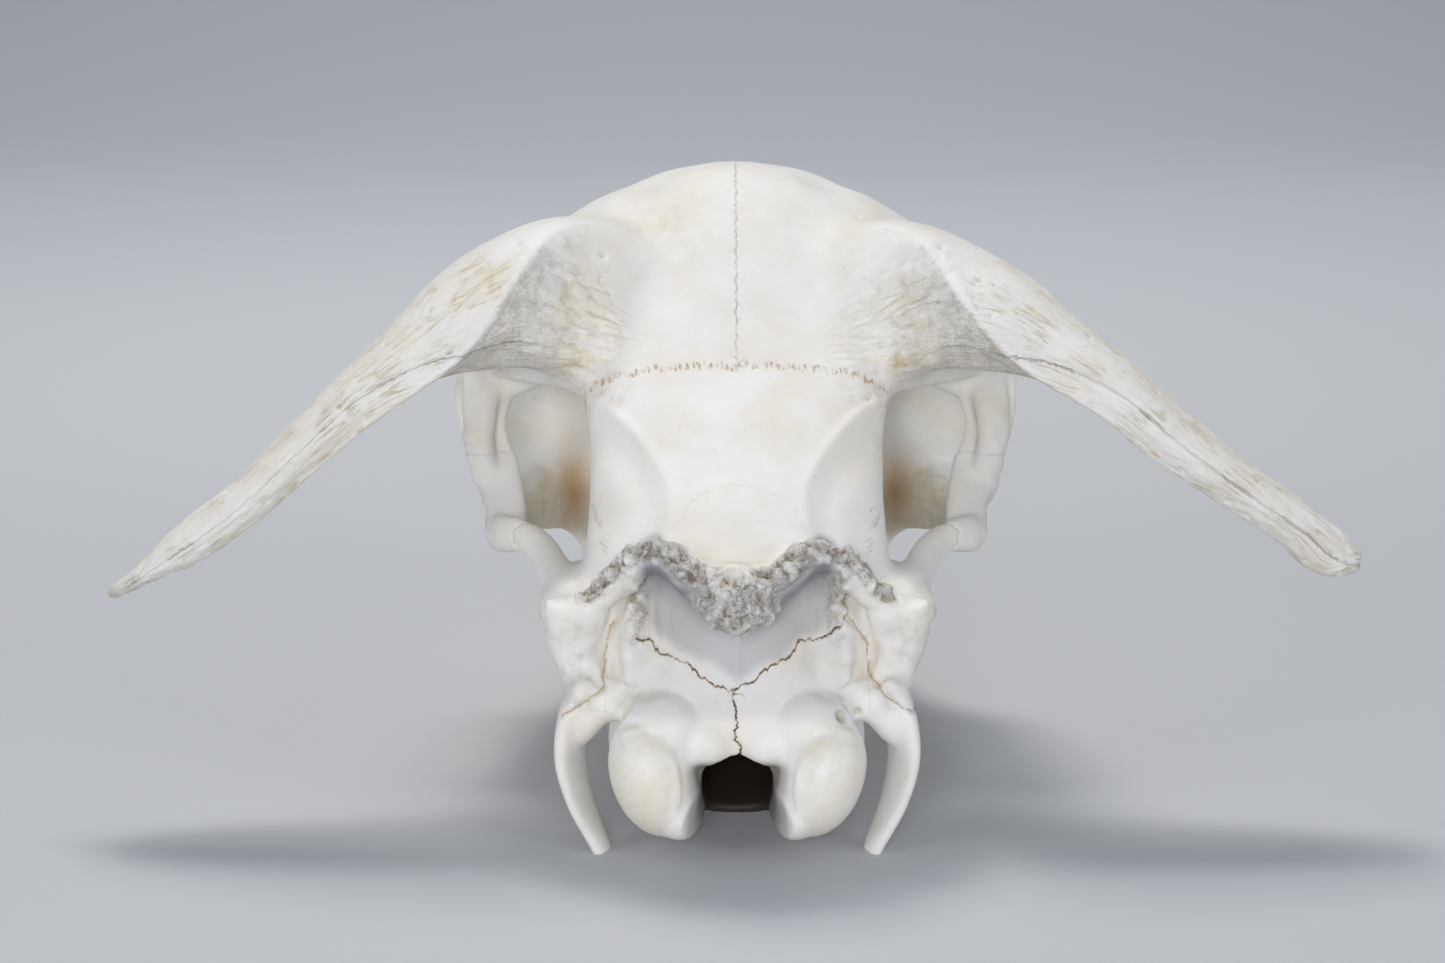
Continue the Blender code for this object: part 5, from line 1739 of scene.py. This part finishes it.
def remesh(obj: bpy.types.Object) -> None:
    """Replaces an object's mesh by an even skin over it.

    Args:
        obj: The object.
    """
    modifier = obj.modifiers.new("remesh", "REMESH")
    modifier.mode = "VOXEL"
    modifier.voxel_size = FUSE_VOXEL * MM
    apply_modifiers(obj)


def carve(obj: bpy.types.Object, cutters: Stock) -> None:
    """Takes every solid of a stock out of an object.

    Args:
        obj: What is cut.
        cutters: The solids to take out of it.
    """
    modifier = obj.modifiers.new("carve", "BOOLEAN")
    modifier.operation = "DIFFERENCE"
    modifier.solver = "MANIFOLD"
    modifier.operand_type = "COLLECTION"
    modifier.collection = cutters.group
    apply_modifiers(obj)


def islands(mesh: bpy.types.Mesh) -> np.ndarray:
    """The connected part that each point of a mesh is in, named by its lowest point number.

    Args:
        mesh: The mesh.

    Returns:
        One number a point.
    """
    a, b = read_ints(mesh.edges, "vertices", 2).T
    root = np.arange(len(mesh.vertices))
    while (root[a] != root[b]).any():
        np.minimum.at(root, np.maximum(root[a], root[b]), np.minimum(root[a], root[b]))
        while (root != root[root]).any():
            root = root[root]
    return root


def extract(mesh: bpy.types.Mesh, places: np.ndarray, keep: np.ndarray, name: str) -> bpy.types.Mesh:
    """A new mesh of some points of another and the faces between them.

    Args:
        mesh: The whole mesh.
        places: Its points in metres, where the new mesh shall have them.
        keep: True for each point to keep.
        name: The new mesh's name.

    Returns:
        The new mesh.
    """
    starts = read_ints(mesh.polygons, "loop_start")
    totals = read_ints(mesh.polygons, "loop_total")
    corners = read_ints(mesh.loops, "vertex_index")
    chosen = keep[corners[starts]]
    new_number = np.cumsum(keep) - 1
    kept_corners = np.repeat(chosen, totals)
    totals = totals[chosen]
    part = bpy.data.meshes.new(name)
    part.vertices.add(int(keep.sum()))
    part.vertices.foreach_set("co", places[keep].astype(np.float32).ravel())
    part.loops.add(int(kept_corners.sum()))
    part.loops.foreach_set("vertex_index", new_number[corners[kept_corners]].astype(np.int32))
    part.polygons.add(len(totals))
    part.polygons.foreach_set("loop_start", (np.cumsum(totals) - totals).astype(np.int32))
    part.update(calc_edges=True)
    return part


@dataclass
class Skull:
    """The whole skull: one fused form, sculpted, then parted into its bones, with its teeth."""

    vault: Vault = field(default_factory=Vault)
    occiput: Occiput = field(default_factory=Occiput)
    face: Face = field(default_factory=Face)
    seams: Seams = field(default_factory=Seams)
    orbits: tuple[Orbit, ...] = field(default_factory=lambda: tuple(Orbit(side) for side in Side))
    horns: tuple[HornCore, ...] = field(
        default_factory=lambda: (
            HornCore(Side.LEFT, LEFT_HORN, LEFT_CHIPS),
            HornCore(Side.RIGHT, RIGHT_HORN, RIGHT_CHIPS),
        )
    )
    rows: tuple[ToothRow, ...] = field(default_factory=lambda: tuple(ToothRow(side) for side in Side))
    blends: Table = (
        (29, 66, 104, 19, 50), (34, 48, 88, 12, 24), (38, 112, 84, 10, 30), (30, 120, 60, 14, 24),
        (16, 14, 62, 10, 6), (31, 30, 50, 12, 12), (10, 124, 106, 14, 40), (34, 127, 36, 13, 40),
        (48, 108, 84, 9, 20), (0, 57, 102, 15, 40), (9.5, 9, 25, 6, 5), (48, 112, 70, 8, 14),
        (28, 15.5, 26, 5, 6),
    )
    smooth_factor: float = 0.5
    smooth_steps: int = 6

    @property
    def parts(self) -> tuple[Part, ...]:
        """Every part of the skull but the teeth and the seams, in the order of work."""
        return (self.vault, self.occiput, self.face, *self.orbits, *self.horns)

    def build(self, bone: bpy.types.Material, enamel: bpy.types.Material) -> None:
        """Builds every bone and tooth and hands them to the frame.

        Args:
            bone: The finish of the bones.
            enamel: The finish of the teeth.
        """
        whole = self._fuse()
        self._sculpt(whole)
        self._saw(whole)
        self._part(whole, bone)
        self._plant_teeth(enamel)

    def _fuse(self) -> bpy.types.Object:
        """Fuses the stock of every sub-assembly into one skin and hollows it.

        Returns:
            The fused skull.
        """
        stock, hollows = Stock("stock"), Stock("hollows")
        for part in self.parts:
            part.add(stock)
            part.carve(hollows)
        bm = bmesh.new()
        for obj in stock.group.objects:
            bm.from_mesh(obj.data)
        whole = settle("cranium", bm)
        remesh(whole)
        carve(whole, hollows)
        remesh(whole)
        modifier = whole.modifiers.new("soften", "SMOOTH")
        modifier.factor = self.smooth_factor
        modifier.iterations = round(self.smooth_steps / FUSE_VOXEL)
        apply_modifiers(whole)
        stock.drop()
        hollows.drop()
        log.info("fused the cranium: %d points", len(whole.data.vertices))
        return whole

    def _sculpt(self, whole: bpy.types.Object) -> None:
        """Rounds the joins, then lets every sub-assembly work its part of the surface.

        Args:
            whole: The fused skull.
        """
        surface = Surface(whole)
        surface.relax(self.blends)
        for part in self.parts:
            part.sculpt(surface)
            surface.write()
        self.seams.groove(surface)
        surface.places[:, 2] = np.maximum(surface.places[:, 2], -0.6)
        surface.write()
        log.info("sculpted the surface")

    def _saw(self, whole: bpy.types.Object) -> None:
        """Cuts the skull along its sutures and flattens what rests on the floor.

        Args:
            whole: The sculpted skull.
        """
        cuts = Stock("cuts")
        self.seams.build(cuts)
        carve(whole, cuts)
        cuts.drop()
        log.info("sawed the skull: %d faces", len(whole.data.polygons))

    def _part(self, whole: bpy.types.Object, bone: bpy.types.Material) -> None:
        """Splits the cut skull into its bones, each its own closed piece, and dresses them.

        Args:
            whole: The cut skull.
            bone: The finish.
        """
        mesh = whole.data
        places = Surface(whole).places
        root = islands(mesh)
        mesh.calc_loop_triangles()
        corners = read_ints(mesh.loop_triangles, "vertices", 3)
        a, b, c = (places[corners[:, k]] for k in range(3))
        share = (a * np.cross(b, c)).sum(1) / 6
        labels, number = np.unique(root[corners[:, 0]], return_inverse=True)
        volume = np.bincount(number, share)
        middle = np.stack([np.bincount(number, share * (a + b + c)[:, k] / 4) for k in range(3)], 1)
        large = volume > SMALLEST_BONE
        labels, middle = labels[large], middle[large] / volume[large, None]
        log.info("%d bones, %d scraps left out", large.sum(), (~large).sum())
        crevice = Surface(whole).crevices()
        moved = (places + ROW_SHIFT) * MM
        for name, seed in BONES:
            for side in Side if seed[0] else (None,):
                near = np.array(seed, float) * (side.value if side else 1, 1, 1)
                label = labels[np.linalg.norm(middle - near, axis=1).argmin()]
                title = f"{name}_{side.ending}" if side else name
                keep = root == label
                self._dress(extract(mesh, moved, keep, title), places[keep], crevice[keep], title, bone)
        bpy.data.objects.remove(whole, do_unlink=True)

    def _dress(
        self,
        mesh: bpy.types.Mesh,
        places: np.ndarray,
        crevice: np.ndarray,
        title: str,
        bone: bpy.types.Material,
    ) -> None:
        """Marks one bone for its finish and sets it in the node's place.

        Args:
            mesh: The bone's mesh.
            places: Its points in the skull's own frame.
            crevice: How sunk each point lies.
            title: The node that it stands for.
            bone: The finish.
        """
        marks = Marks(len(places), crevice)
        for part in (*self.parts, self.seams):
            part.mark(places, marks)
        marks.write(mesh)
        mesh.shade_smooth()
        mesh.set_sharp_from_angle(angle=math.radians(62))
        mesh.materials.append(bone)
        obj = bpy.data.objects.new(title + "_bone", mesh)
        bpy.context.scene.collection.objects.link(obj)
        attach(obj, "root")
        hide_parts(title)
        log.info("%s: %d points", obj.name, len(places))

    def _plant_teeth(self, enamel: bpy.types.Material) -> None:
        """Sets the teeth in both jaws.

        Args:
            enamel: The finish of the teeth.
        """
        for row in self.rows:
            for tooth in row.build():
                tooth.data.transform(Matrix.Translation(Vector(ROW_SHIFT) * MM))
                tooth.data.materials.append(enamel)
                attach(tooth, "root")
                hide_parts("maxilla_" + row.side.ending)
                log.info("%s: %d points", tooth.name, len(tooth.data.vertices))


def linear(code: str) -> tuple[float, float, float, float]:
    """The linear colour of an sRGB code such as "#E6DDCB"."""
    parts = [int(code[k : k + 2], 16) / 255 for k in (1, 3, 5)]
    r, g, b = (c / 12.92 if c <= 0.04045 else ((c + 0.055) / 1.055) ** 2.4 for c in parts)
    return (r, g, b, 1.0)


def add_node(
    tree: bpy.types.NodeTree, kind: str, settings: dict | None = None, inputs: dict | None = None
) -> bpy.types.Node:
    """Adds one node to a tree.

    Args:
        tree: The tree.
        kind: The node's type.
        settings: Its properties.
        inputs: A value or another node's socket, by the name or number of the input.

    Returns:
        The new node.
    """
    made = tree.nodes.new(kind)
    for name, value in (settings or {}).items():
        setattr(made, name, value)
    for name, value in (inputs or {}).items():
        if isinstance(value, Socket):
            tree.links.new(value, made.inputs[name])
        else:
            made.inputs[name].default_value = value
    return made


class Recipe:
    """A material in the making, whose textures are measured in millimetres."""

    def __init__(self, name: str) -> None:
        """Starts a Principled material and its millimetre coordinates.

        Args:
            name: The material's name.
        """
        self.material = bpy.data.materials.new(name)
        self.material.use_nodes = True
        self.tree = self.material.node_tree
        self.shader = self.tree.nodes["Principled BSDF"]
        place = add_node(self.tree, "ShaderNodeTexCoord").outputs["Object"]
        self.place = self.vector("SCALE", {0: place, "Scale": 1 / MM})

    def vector(self, operation: str, inputs: dict) -> Socket:
        """A vector sum."""
        return add_node(self.tree, "ShaderNodeVectorMath", {"operation": operation}, inputs).outputs[0]

    def sum(self, operation: str, a: Value, b: Value = 0.0, c: Value = 0.0) -> Socket:
        """A sum of numbers, held between 0 and 1 for a product."""
        settings = {"operation": operation, "use_clamp": operation == "MULTIPLY"}
        inputs = {0: a, 1: b, 2: c} if operation == "MULTIPLY_ADD" else {0: a, 1: b}
        return add_node(self.tree, "ShaderNodeMath", settings, inputs).outputs[0]

    def times(self, a: Value, b: Value) -> Socket:
        """The product of two numbers, held between 0 and 1."""
        return self.sum("MULTIPLY", a, b)

    def step(
        self, value: Value, low: float, high: float, start: Value = 0.0, end: Value = 1.0
    ) -> Socket:
        """A smooth step of a value from one range to another.

        Args:
            value: The value.
            low: Where it gives the start, which may be above the high.
            high: Where it gives the end.
            start: What the low gives.
            end: What the high gives.

        Returns:
            The result.
        """
        inputs = {"Value": value, "From Min": low, "From Max": high, "To Min": start, "To Max": end}
        settings = {"interpolation_type": "SMOOTHSTEP"}
        return add_node(self.tree, "ShaderNodeMapRange", settings, inputs).outputs[0]

    def noise(self, apart: float, detail: float = 3.0, place: Socket | None = None) -> Socket:
        """Noise whose features are so many millimetres apart."""
        inputs = {"Vector": place or self.place, "Scale": 1 / apart, "Detail": detail, "Roughness": 0.6}
        return add_node(self.tree, "ShaderNodeTexNoise", {}, inputs).outputs[0]

    def cells(self, apart: float, place: Socket | None = None) -> Socket:
        """The distance from the nearest of points that lie so many millimetres apart."""
        inputs = {"Vector": place or self.place, "Scale": 1 / apart, "Randomness": 1.0}
        return add_node(self.tree, "ShaderNodeTexVoronoi", {}, inputs).outputs["Distance"]

    def mark(self, name: str) -> tuple[Socket, ...]:
        """The three numbers of a mark on the mesh."""
        found = add_node(self.tree, "ShaderNodeAttribute", {"attribute_name": name}).outputs["Vector"]
        return tuple(add_node(self.tree, "ShaderNodeSeparateXYZ", {}, {0: found}).outputs)

    def number(self, name: str) -> Socket:
        """A single number that the mesh holds for each point."""
        return add_node(self.tree, "ShaderNodeAttribute", {"attribute_name": name}).outputs["Fac"]

    def layer(self, under: Value, over: Value, amount: Value) -> Socket:
        """One colour laid over another by an amount."""
        inputs = {0: amount, 6: under, 7: over}
        return add_node(self.tree, "ShaderNodeMix", {"data_type": "RGBA"}, inputs).outputs[2]

    def blend(self, first: Value, second: Value, amount: Value) -> Socket:
        """A number between two others."""
        return add_node(self.tree, "ShaderNodeMix", {}, {0: amount, 2: first, 3: second}).outputs[0]

    def relief(self, height: Socket) -> None:
        """Gives the surface a fine relief whose height is in millimetres."""
        inputs = {"Height": height, "Distance": MM, "Strength": 1.0}
        bump = add_node(self.tree, "ShaderNodeBump", {}, inputs)
        self.tree.links.new(bump.outputs[0], self.shader.inputs["Normal"])

    def finish(
        self, colour: Value, roughness: Value, ior: float, subsurface: float = 0.0
    ) -> bpy.types.Material:
        """Sets the shader's own values.

        Args:
            colour: The base colour or its socket.
            roughness: The roughness or its socket.
            ior: The index of refraction.
            subsurface: How much light passes under the surface.

        Returns:
            The material.
        """
        for name, value in (("Base Color", colour), ("Roughness", roughness)):
            if isinstance(value, Socket):
                self.tree.links.new(value, self.shader.inputs[name])
            else:
                self.shader.inputs[name].default_value = value
        self.shader.inputs["IOR"].default_value = ior
        self.shader.inputs["Metallic"].default_value = 0.0
        self.shader.inputs["Subsurface Weight"].default_value = subsurface
        self.shader.inputs["Subsurface Radius"].default_value = (1.0, 0.62, 0.38)
        self.shader.inputs["Subsurface Scale"].default_value = MM
        return self.material


@dataclass(frozen=True)
class DryBone:
    """Degreased cranial bone: weathered clean, so it is matt and chalky, with open vessel pores."""

    name: str = "degreased_bone"
    ivory: str = "#F1EFEA"
    cream: str = "#EBE5D7"
    warm: str = "#D9CA9C"
    tan: str = "#B58F62"
    # Grime, also used as painted shade.
    grime_and_shade: str = "#928A7C"
    # Pores, also used as painted shade in crevices.
    pore_and_shade: str = "#6A563C"
    ochre: str = "#B48A58"
    stain: str = "#5E4126"
    # Painted shade for holes and cavities.
    cavity: str = "#2B2018"
    shadow: str = "#6F737A"
    roughness: float = 0.62
    polish: float = 0.46
    ior: float = 1.55
    subsurface: float = 0.08

    def build(self) -> bpy.types.Material:
        """Makes the material.

        Returns:
            The material, which reads the marks of the bone that it is on.
        """
        make = Recipe(self.name)
        away, run, strength = make.mark("seam")
        grime_and_shade, warm, tan = make.mark("tint")
        # The middle number is painted shade in holes and cavities.
        porous, hollow, polish = make.mark("wear")
        along, around, grained = make.mark("grain")
        broad = make.noise(14, 3)
        blotch = make.noise(3.2, 4)
        fine = make.noise(0.62, 4)
        pits = make.step(make.cells(1.5), 0.21, 0.09)
        pits = make.times(pits, make.step(make.sum("MULTIPLY_ADD", porous, 0.05, blotch), 0.55, 0.95))
        shade, crevice = make.number("shade"), make.number("crevice")
        pore_place = self._grain_place(make, along, around, 0.8, 0.32)
        sponge = make.step(make.cells(0.45), 0.46, 0.16)
        slot = make.step(make.cells(1.0, pore_place), 0.5, 0.2)
        horn = make.step(grained, 0.0, 0.6)
        spongy = make.times(make.step(porous, 0.4, 0.85), make.sum("SUBTRACT", 1.0, horn))
        crumb = make.noise(1.5, 5)
        sponge = make.times(make.blend(sponge, slot, horn), porous)
        # How dark the deep crevices get: partly dirt, partly painted shade.
        dirt_and_shade = make.blend(make.step(porous, 0.2, 0.8, 0.45, 0.9), 0.14, horn)
        scratch = make.noise(1.0, 4, self._grain_place(make, along, around, 5.0, 0.33))
        scratch = make.times(make.step(scratch, 0.46, 0.7), horn)
        ridge = make.noise(1.0, 3, self._grain_place(make, along, around, 19, 2.0))
        ridge = make.sum("ABSOLUTE", make.sum("SUBTRACT", ridge, 0.5))
        crack = make.times(make.step(ridge, 0.03, 0.006), horn)
        crack = make.times(crack, make.step(make.noise(7, 2), 0.42, 0.58))
        bead = make.noise(1.0, 2, self._grain_place(make, along, around, 2.2, 0.6))
        bead = make.times(crack, make.step(bead, 0.4, 0.6))
        jitter = make.sum("MULTIPLY_ADD", make.sum("SUBTRACT", fine, 0.5), 0.7, away)
        dash = make.step(make.noise(1.6, 3), 0.36, 0.56, 0.25, 1.0)
        toothed = make.times(grained, -1.0)
        line = make.times(make.step(make.sum("ABSOLUTE", jitter), 0.3, 0.06), make.times(dash, strength))
        line = make.times(line, make.sum("SUBTRACT", 1.0, toothed))
        inputs = {0: make.sum("DIVIDE", run, 0.8), 1: make.sum("DIVIDE", away, 4.0), 2: 0.0}
        comb_place = add_node(make.tree, "ShaderNodeCombineXYZ", {}, inputs).outputs[0]
        stroke = make.step(make.noise(1.0, 1, comb_place), 0.47, 0.6)
        comb = make.times(make.step(make.sum("ABSOLUTE", away), 1.15, 0.6), toothed)
        comb = make.times(comb, make.times(stroke, dash))
        mottle = make.step(blotch, 0.3, 0.75)
        colour = make.layer(linear(self.ivory), linear(self.cream), make.step(broad, 0.35, 0.75))
        for code, amount in (
            (self.warm, make.times(warm, make.sum("ADD", mottle, 0.25))),
            (self.tan, tan),
            # Grime, and on the horn cores' rear faces painted shade.
            (self.grime_and_shade, make.times(grime_and_shade, make.sum("ADD", mottle, 0.3))),
            (self.shadow, shade),
            (self.grime_and_shade, make.times(make.times(scratch, porous), 0.6)),
            (self.warm, make.times(scratch, 0.08)),
            (self.warm, make.times(crack, 0.3)),
            (self.ochre, make.times(bead, 0.35)),
            (self.grime_and_shade, make.times(sponge, 0.7)),
            (self.pore_and_shade, make.times(make.step(crumb, 0.52, 0.36), make.times(spongy, 0.75))),
            # Crevices darker and ridges lighter: the crevice colours are partly dirt and partly painted
            # shade, and the whitened ridges are a painted highlight.
            (self.warm, make.times(make.step(crevice, 0.03, 0.18), make.step(shade, 0.35, 0.0, 0.0, 0.4))),
            (self.pore_and_shade, make.times(make.step(crevice, 0.12, 0.5), dirt_and_shade)),
            (self.ivory, make.times(make.step(crevice, -0.05, -0.3), 0.5)),
            (self.pore_and_shade, make.times(pits, 0.8)),
            (self.ochre, make.times(comb, 0.85)),
            (self.ochre, line),
            (self.stain, make.times(line, make.step(strength, 0.5, 0.95))),
            # Painted shade: near-black in holes, bores and the nose's depth.
            (self.cavity, hollow),
        ):
            colour = make.layer(colour, linear(code), amount)
        height = make.sum("MULTIPLY_ADD", fine, 0.05, 0.0)
        for amount, depth in (
            (blotch, 0.12), (pits, -0.22), (sponge, -0.2), (scratch, -0.05), (crack, -0.1), (line, -0.12),
            (comb, -0.08), (make.times(crumb, spongy), 1.2),
        ):
            height = make.sum("MULTIPLY_ADD", amount, depth, height)
        make.relief(height)
        gloss = make.step(polish, 0.0, 1.0, self.roughness, self.polish)
        return make.finish(colour, gloss, self.ior, self.subsurface)

    def _grain_place(
        self, make: Recipe, along: Value, around: Value, long: float, wide: float
    ) -> Socket:
        """Places that run with the grain of a horn core, for streaky noise.

        Args:
            make: The material in the making.
            along: Millimetres along the core.
            around: Millimetres round it.
            long: The streaks' length in millimetres.
            wide: Their breadth.

        Returns:
            The places.
        """
        inputs = {0: make.sum("DIVIDE", along, long), 1: make.sum("DIVIDE", around, wide), 2: long}
        return add_node(make.tree, "ShaderNodeCombineXYZ", {}, inputs).outputs[0]


@dataclass(frozen=True)
class ToothEnamel:
    """Cheek-tooth enamel: glossier than bone, with brown tartar by the sockets and dentine on the worn
    face.
    """

    name: str = "tooth_enamel"
    crown: str = "#E6DECB"
    dentine: str = "#C2A981"
    tartar: str = "#6A5239"
    roughness: float = 0.36
    ior: float = 1.63

    def build(self) -> bpy.types.Material:
        """Makes the material.

        Returns:
            The material.
        """
        make = Recipe(self.name)
        height_up = add_node(make.tree, "ShaderNodeSeparateXYZ", {}, {0: make.place}).outputs[2]
        streak_place = make.vector("MULTIPLY", {0: make.place, 1: (1.0, 1.0, 0.12)})
        streak = make.noise(0.8, 4, streak_place)
        blotch = make.noise(2.4, 4)
        root = make.times(make.step(height_up, 8.0, 15.5), make.step(blotch, 0.35, 0.6))
        worn = make.times(make.step(height_up, 0.9, 0.35), make.step(height_up, 0.02, 0.16))
        streaked = make.times(make.step(streak, 0.45, 0.75), 0.4)
        colour = make.layer(linear(self.crown), linear(self.dentine), streaked)
        colour = make.layer(colour, linear(self.dentine), make.times(worn, 0.9))
        colour = make.layer(colour, linear(self.tartar), make.times(root, 0.5))
        make.relief(make.sum("MULTIPLY_ADD", streak, 0.12, 0.0))
        return make.finish(colour, self.roughness, self.ior, 0.05)


@dataclass(frozen=True)
class StudioPaper:
    """Uncoated background paper: even and matt, with a faint fibre."""

    name: str = "background_paper"
    colour: str = "#C6C8CA"
    roughness: float = 0.85
    ior: float = 1.45

    def build(self) -> bpy.types.Material:
        """Makes the material.

        Returns:
            The material.
        """
        make = Recipe(self.name)
        make.relief(make.sum("MULTIPLY_ADD", make.noise(0.9, 2), 0.03, 0.0))
        return make.finish(linear(self.colour), self.roughness, self.ior)


@dataclass
class Studio:
    """The floor, the light and the camera."""

    camera_place: Row = (-2.887, -388.0, 159.4)
    camera_pitch: float = 12.0
    lens: float = 2160 / 1445 * 36
    sensor: float = 36.0
    floor_width: float = 14.0
    floor_front: float = 3.0
    floor_back: float = 2.0
    sweep_radius: float = 4.0
    ambient: str = "#DDE5F2"
    ambient_strength: float = 0.34
    lamps: tuple[tuple[str, Row, Row, float, float, str], ...] = (
        ("key_softbox", (-0.15, 0.45, 1.15), (0, 0, 0.06), 0.3, 4.6, "#FFFAF3"),
        ("left_softbox", (-0.85, -0.65, 0.30), (0, 0, 0.06), 0.3, 1.9, "#F9FAFF"),
        ("right_softbox", (0.85, -0.65, 0.30), (0, 0, 0.06), 0.3, 1.9, "#F9FAFF"),
        ("low_reflector", (-0.06, -0.64, 0.17), (0, -0.08, 0.03), 0.2, 1.3, "#F9F9FF"),
        ("backdrop_softbox", (0, 0.9, 2.6), (0, 4.0, 0.2), 1.2, 50.0, "#FBFBFF"),
    )

    def build(self, paper: bpy.types.Material) -> None:
        """Lays the floor, which sweeps up far behind, hangs the lamps and sets up the camera.

        Args:
            paper: The finish of the floor.
        """
        profile = [(-self.floor_front, 0.0)]
        for degrees in range(0, 91, 5):
            a = math.radians(degrees)
            rise = self.sweep_radius * (1 - math.cos(a))
            profile.append((self.floor_back + self.sweep_radius * math.sin(a), rise))
        half = self.floor_width / 2
        points = [(x, y, z) for y, z in profile for x in (-half, half)]
        faces = [(2 * k, 2 * k + 1, 2 * k + 3, 2 * k + 2) for k in range(len(profile) - 1)]
        mesh = bpy.data.meshes.new("studio_floor")
        mesh.from_pydata(points, [], faces)
        mesh.shade_smooth()
        mesh.materials.append(paper)
        floor = bpy.data.objects.new("studio_floor", mesh)
        bpy.context.scene.collection.objects.link(floor)
        world = bpy.data.worlds.new("studio")
        world.use_nodes = True
        sky = world.node_tree.nodes["Background"]
        sky.inputs["Color"].default_value = linear(self.ambient)
        sky.inputs["Strength"].default_value = self.ambient_strength
        bpy.context.scene.world = world
        bpy.context.scene.view_settings.view_transform = "Standard"
        for name, place, target, size, watts, code in self.lamps:
            lamp = bpy.data.lights.new(name, "AREA")
            lamp.energy = watts
            lamp.size = size
            lamp.color = linear(code)[:3]
            self._aim(bpy.data.objects.new(name, lamp), Vector(place), Vector(target) - Vector(place))
        self._camera()
        log.info("studio is ready")

    def _camera(self) -> None:
        """Puts the camera where the photograph was taken from."""
        data = bpy.data.cameras.new("camera")
        data.lens = self.lens
        data.sensor_width = self.sensor
        data.clip_start = 0.01
        camera = bpy.data.objects.new("camera", data)
        pitch = math.radians(self.camera_pitch)
        place = (Vector(self.camera_place) + Vector(ROW_SHIFT)) * MM
        self._aim(camera, place, Vector((0, math.cos(pitch), -math.sin(pitch))))
        bpy.context.scene.camera = camera

    def _aim(self, obj: bpy.types.Object, place: Vector, way: Vector) -> None:
        """Adds an object to the scene at a place, facing a way."""
        bpy.context.scene.collection.objects.link(obj)
        obj.location = place
        obj.rotation_euler = way.to_track_quat("-Z", "Y").to_euler()


def main() -> None:
    """Builds the studio and the skull."""
    logging.basicConfig(level=logging.INFO, format="%(message)s")
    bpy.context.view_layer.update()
    Studio().build(StudioPaper().build())
    Skull().build(DryBone().build(), ToothEnamel().build())


if __name__ == "__main__":
    main()
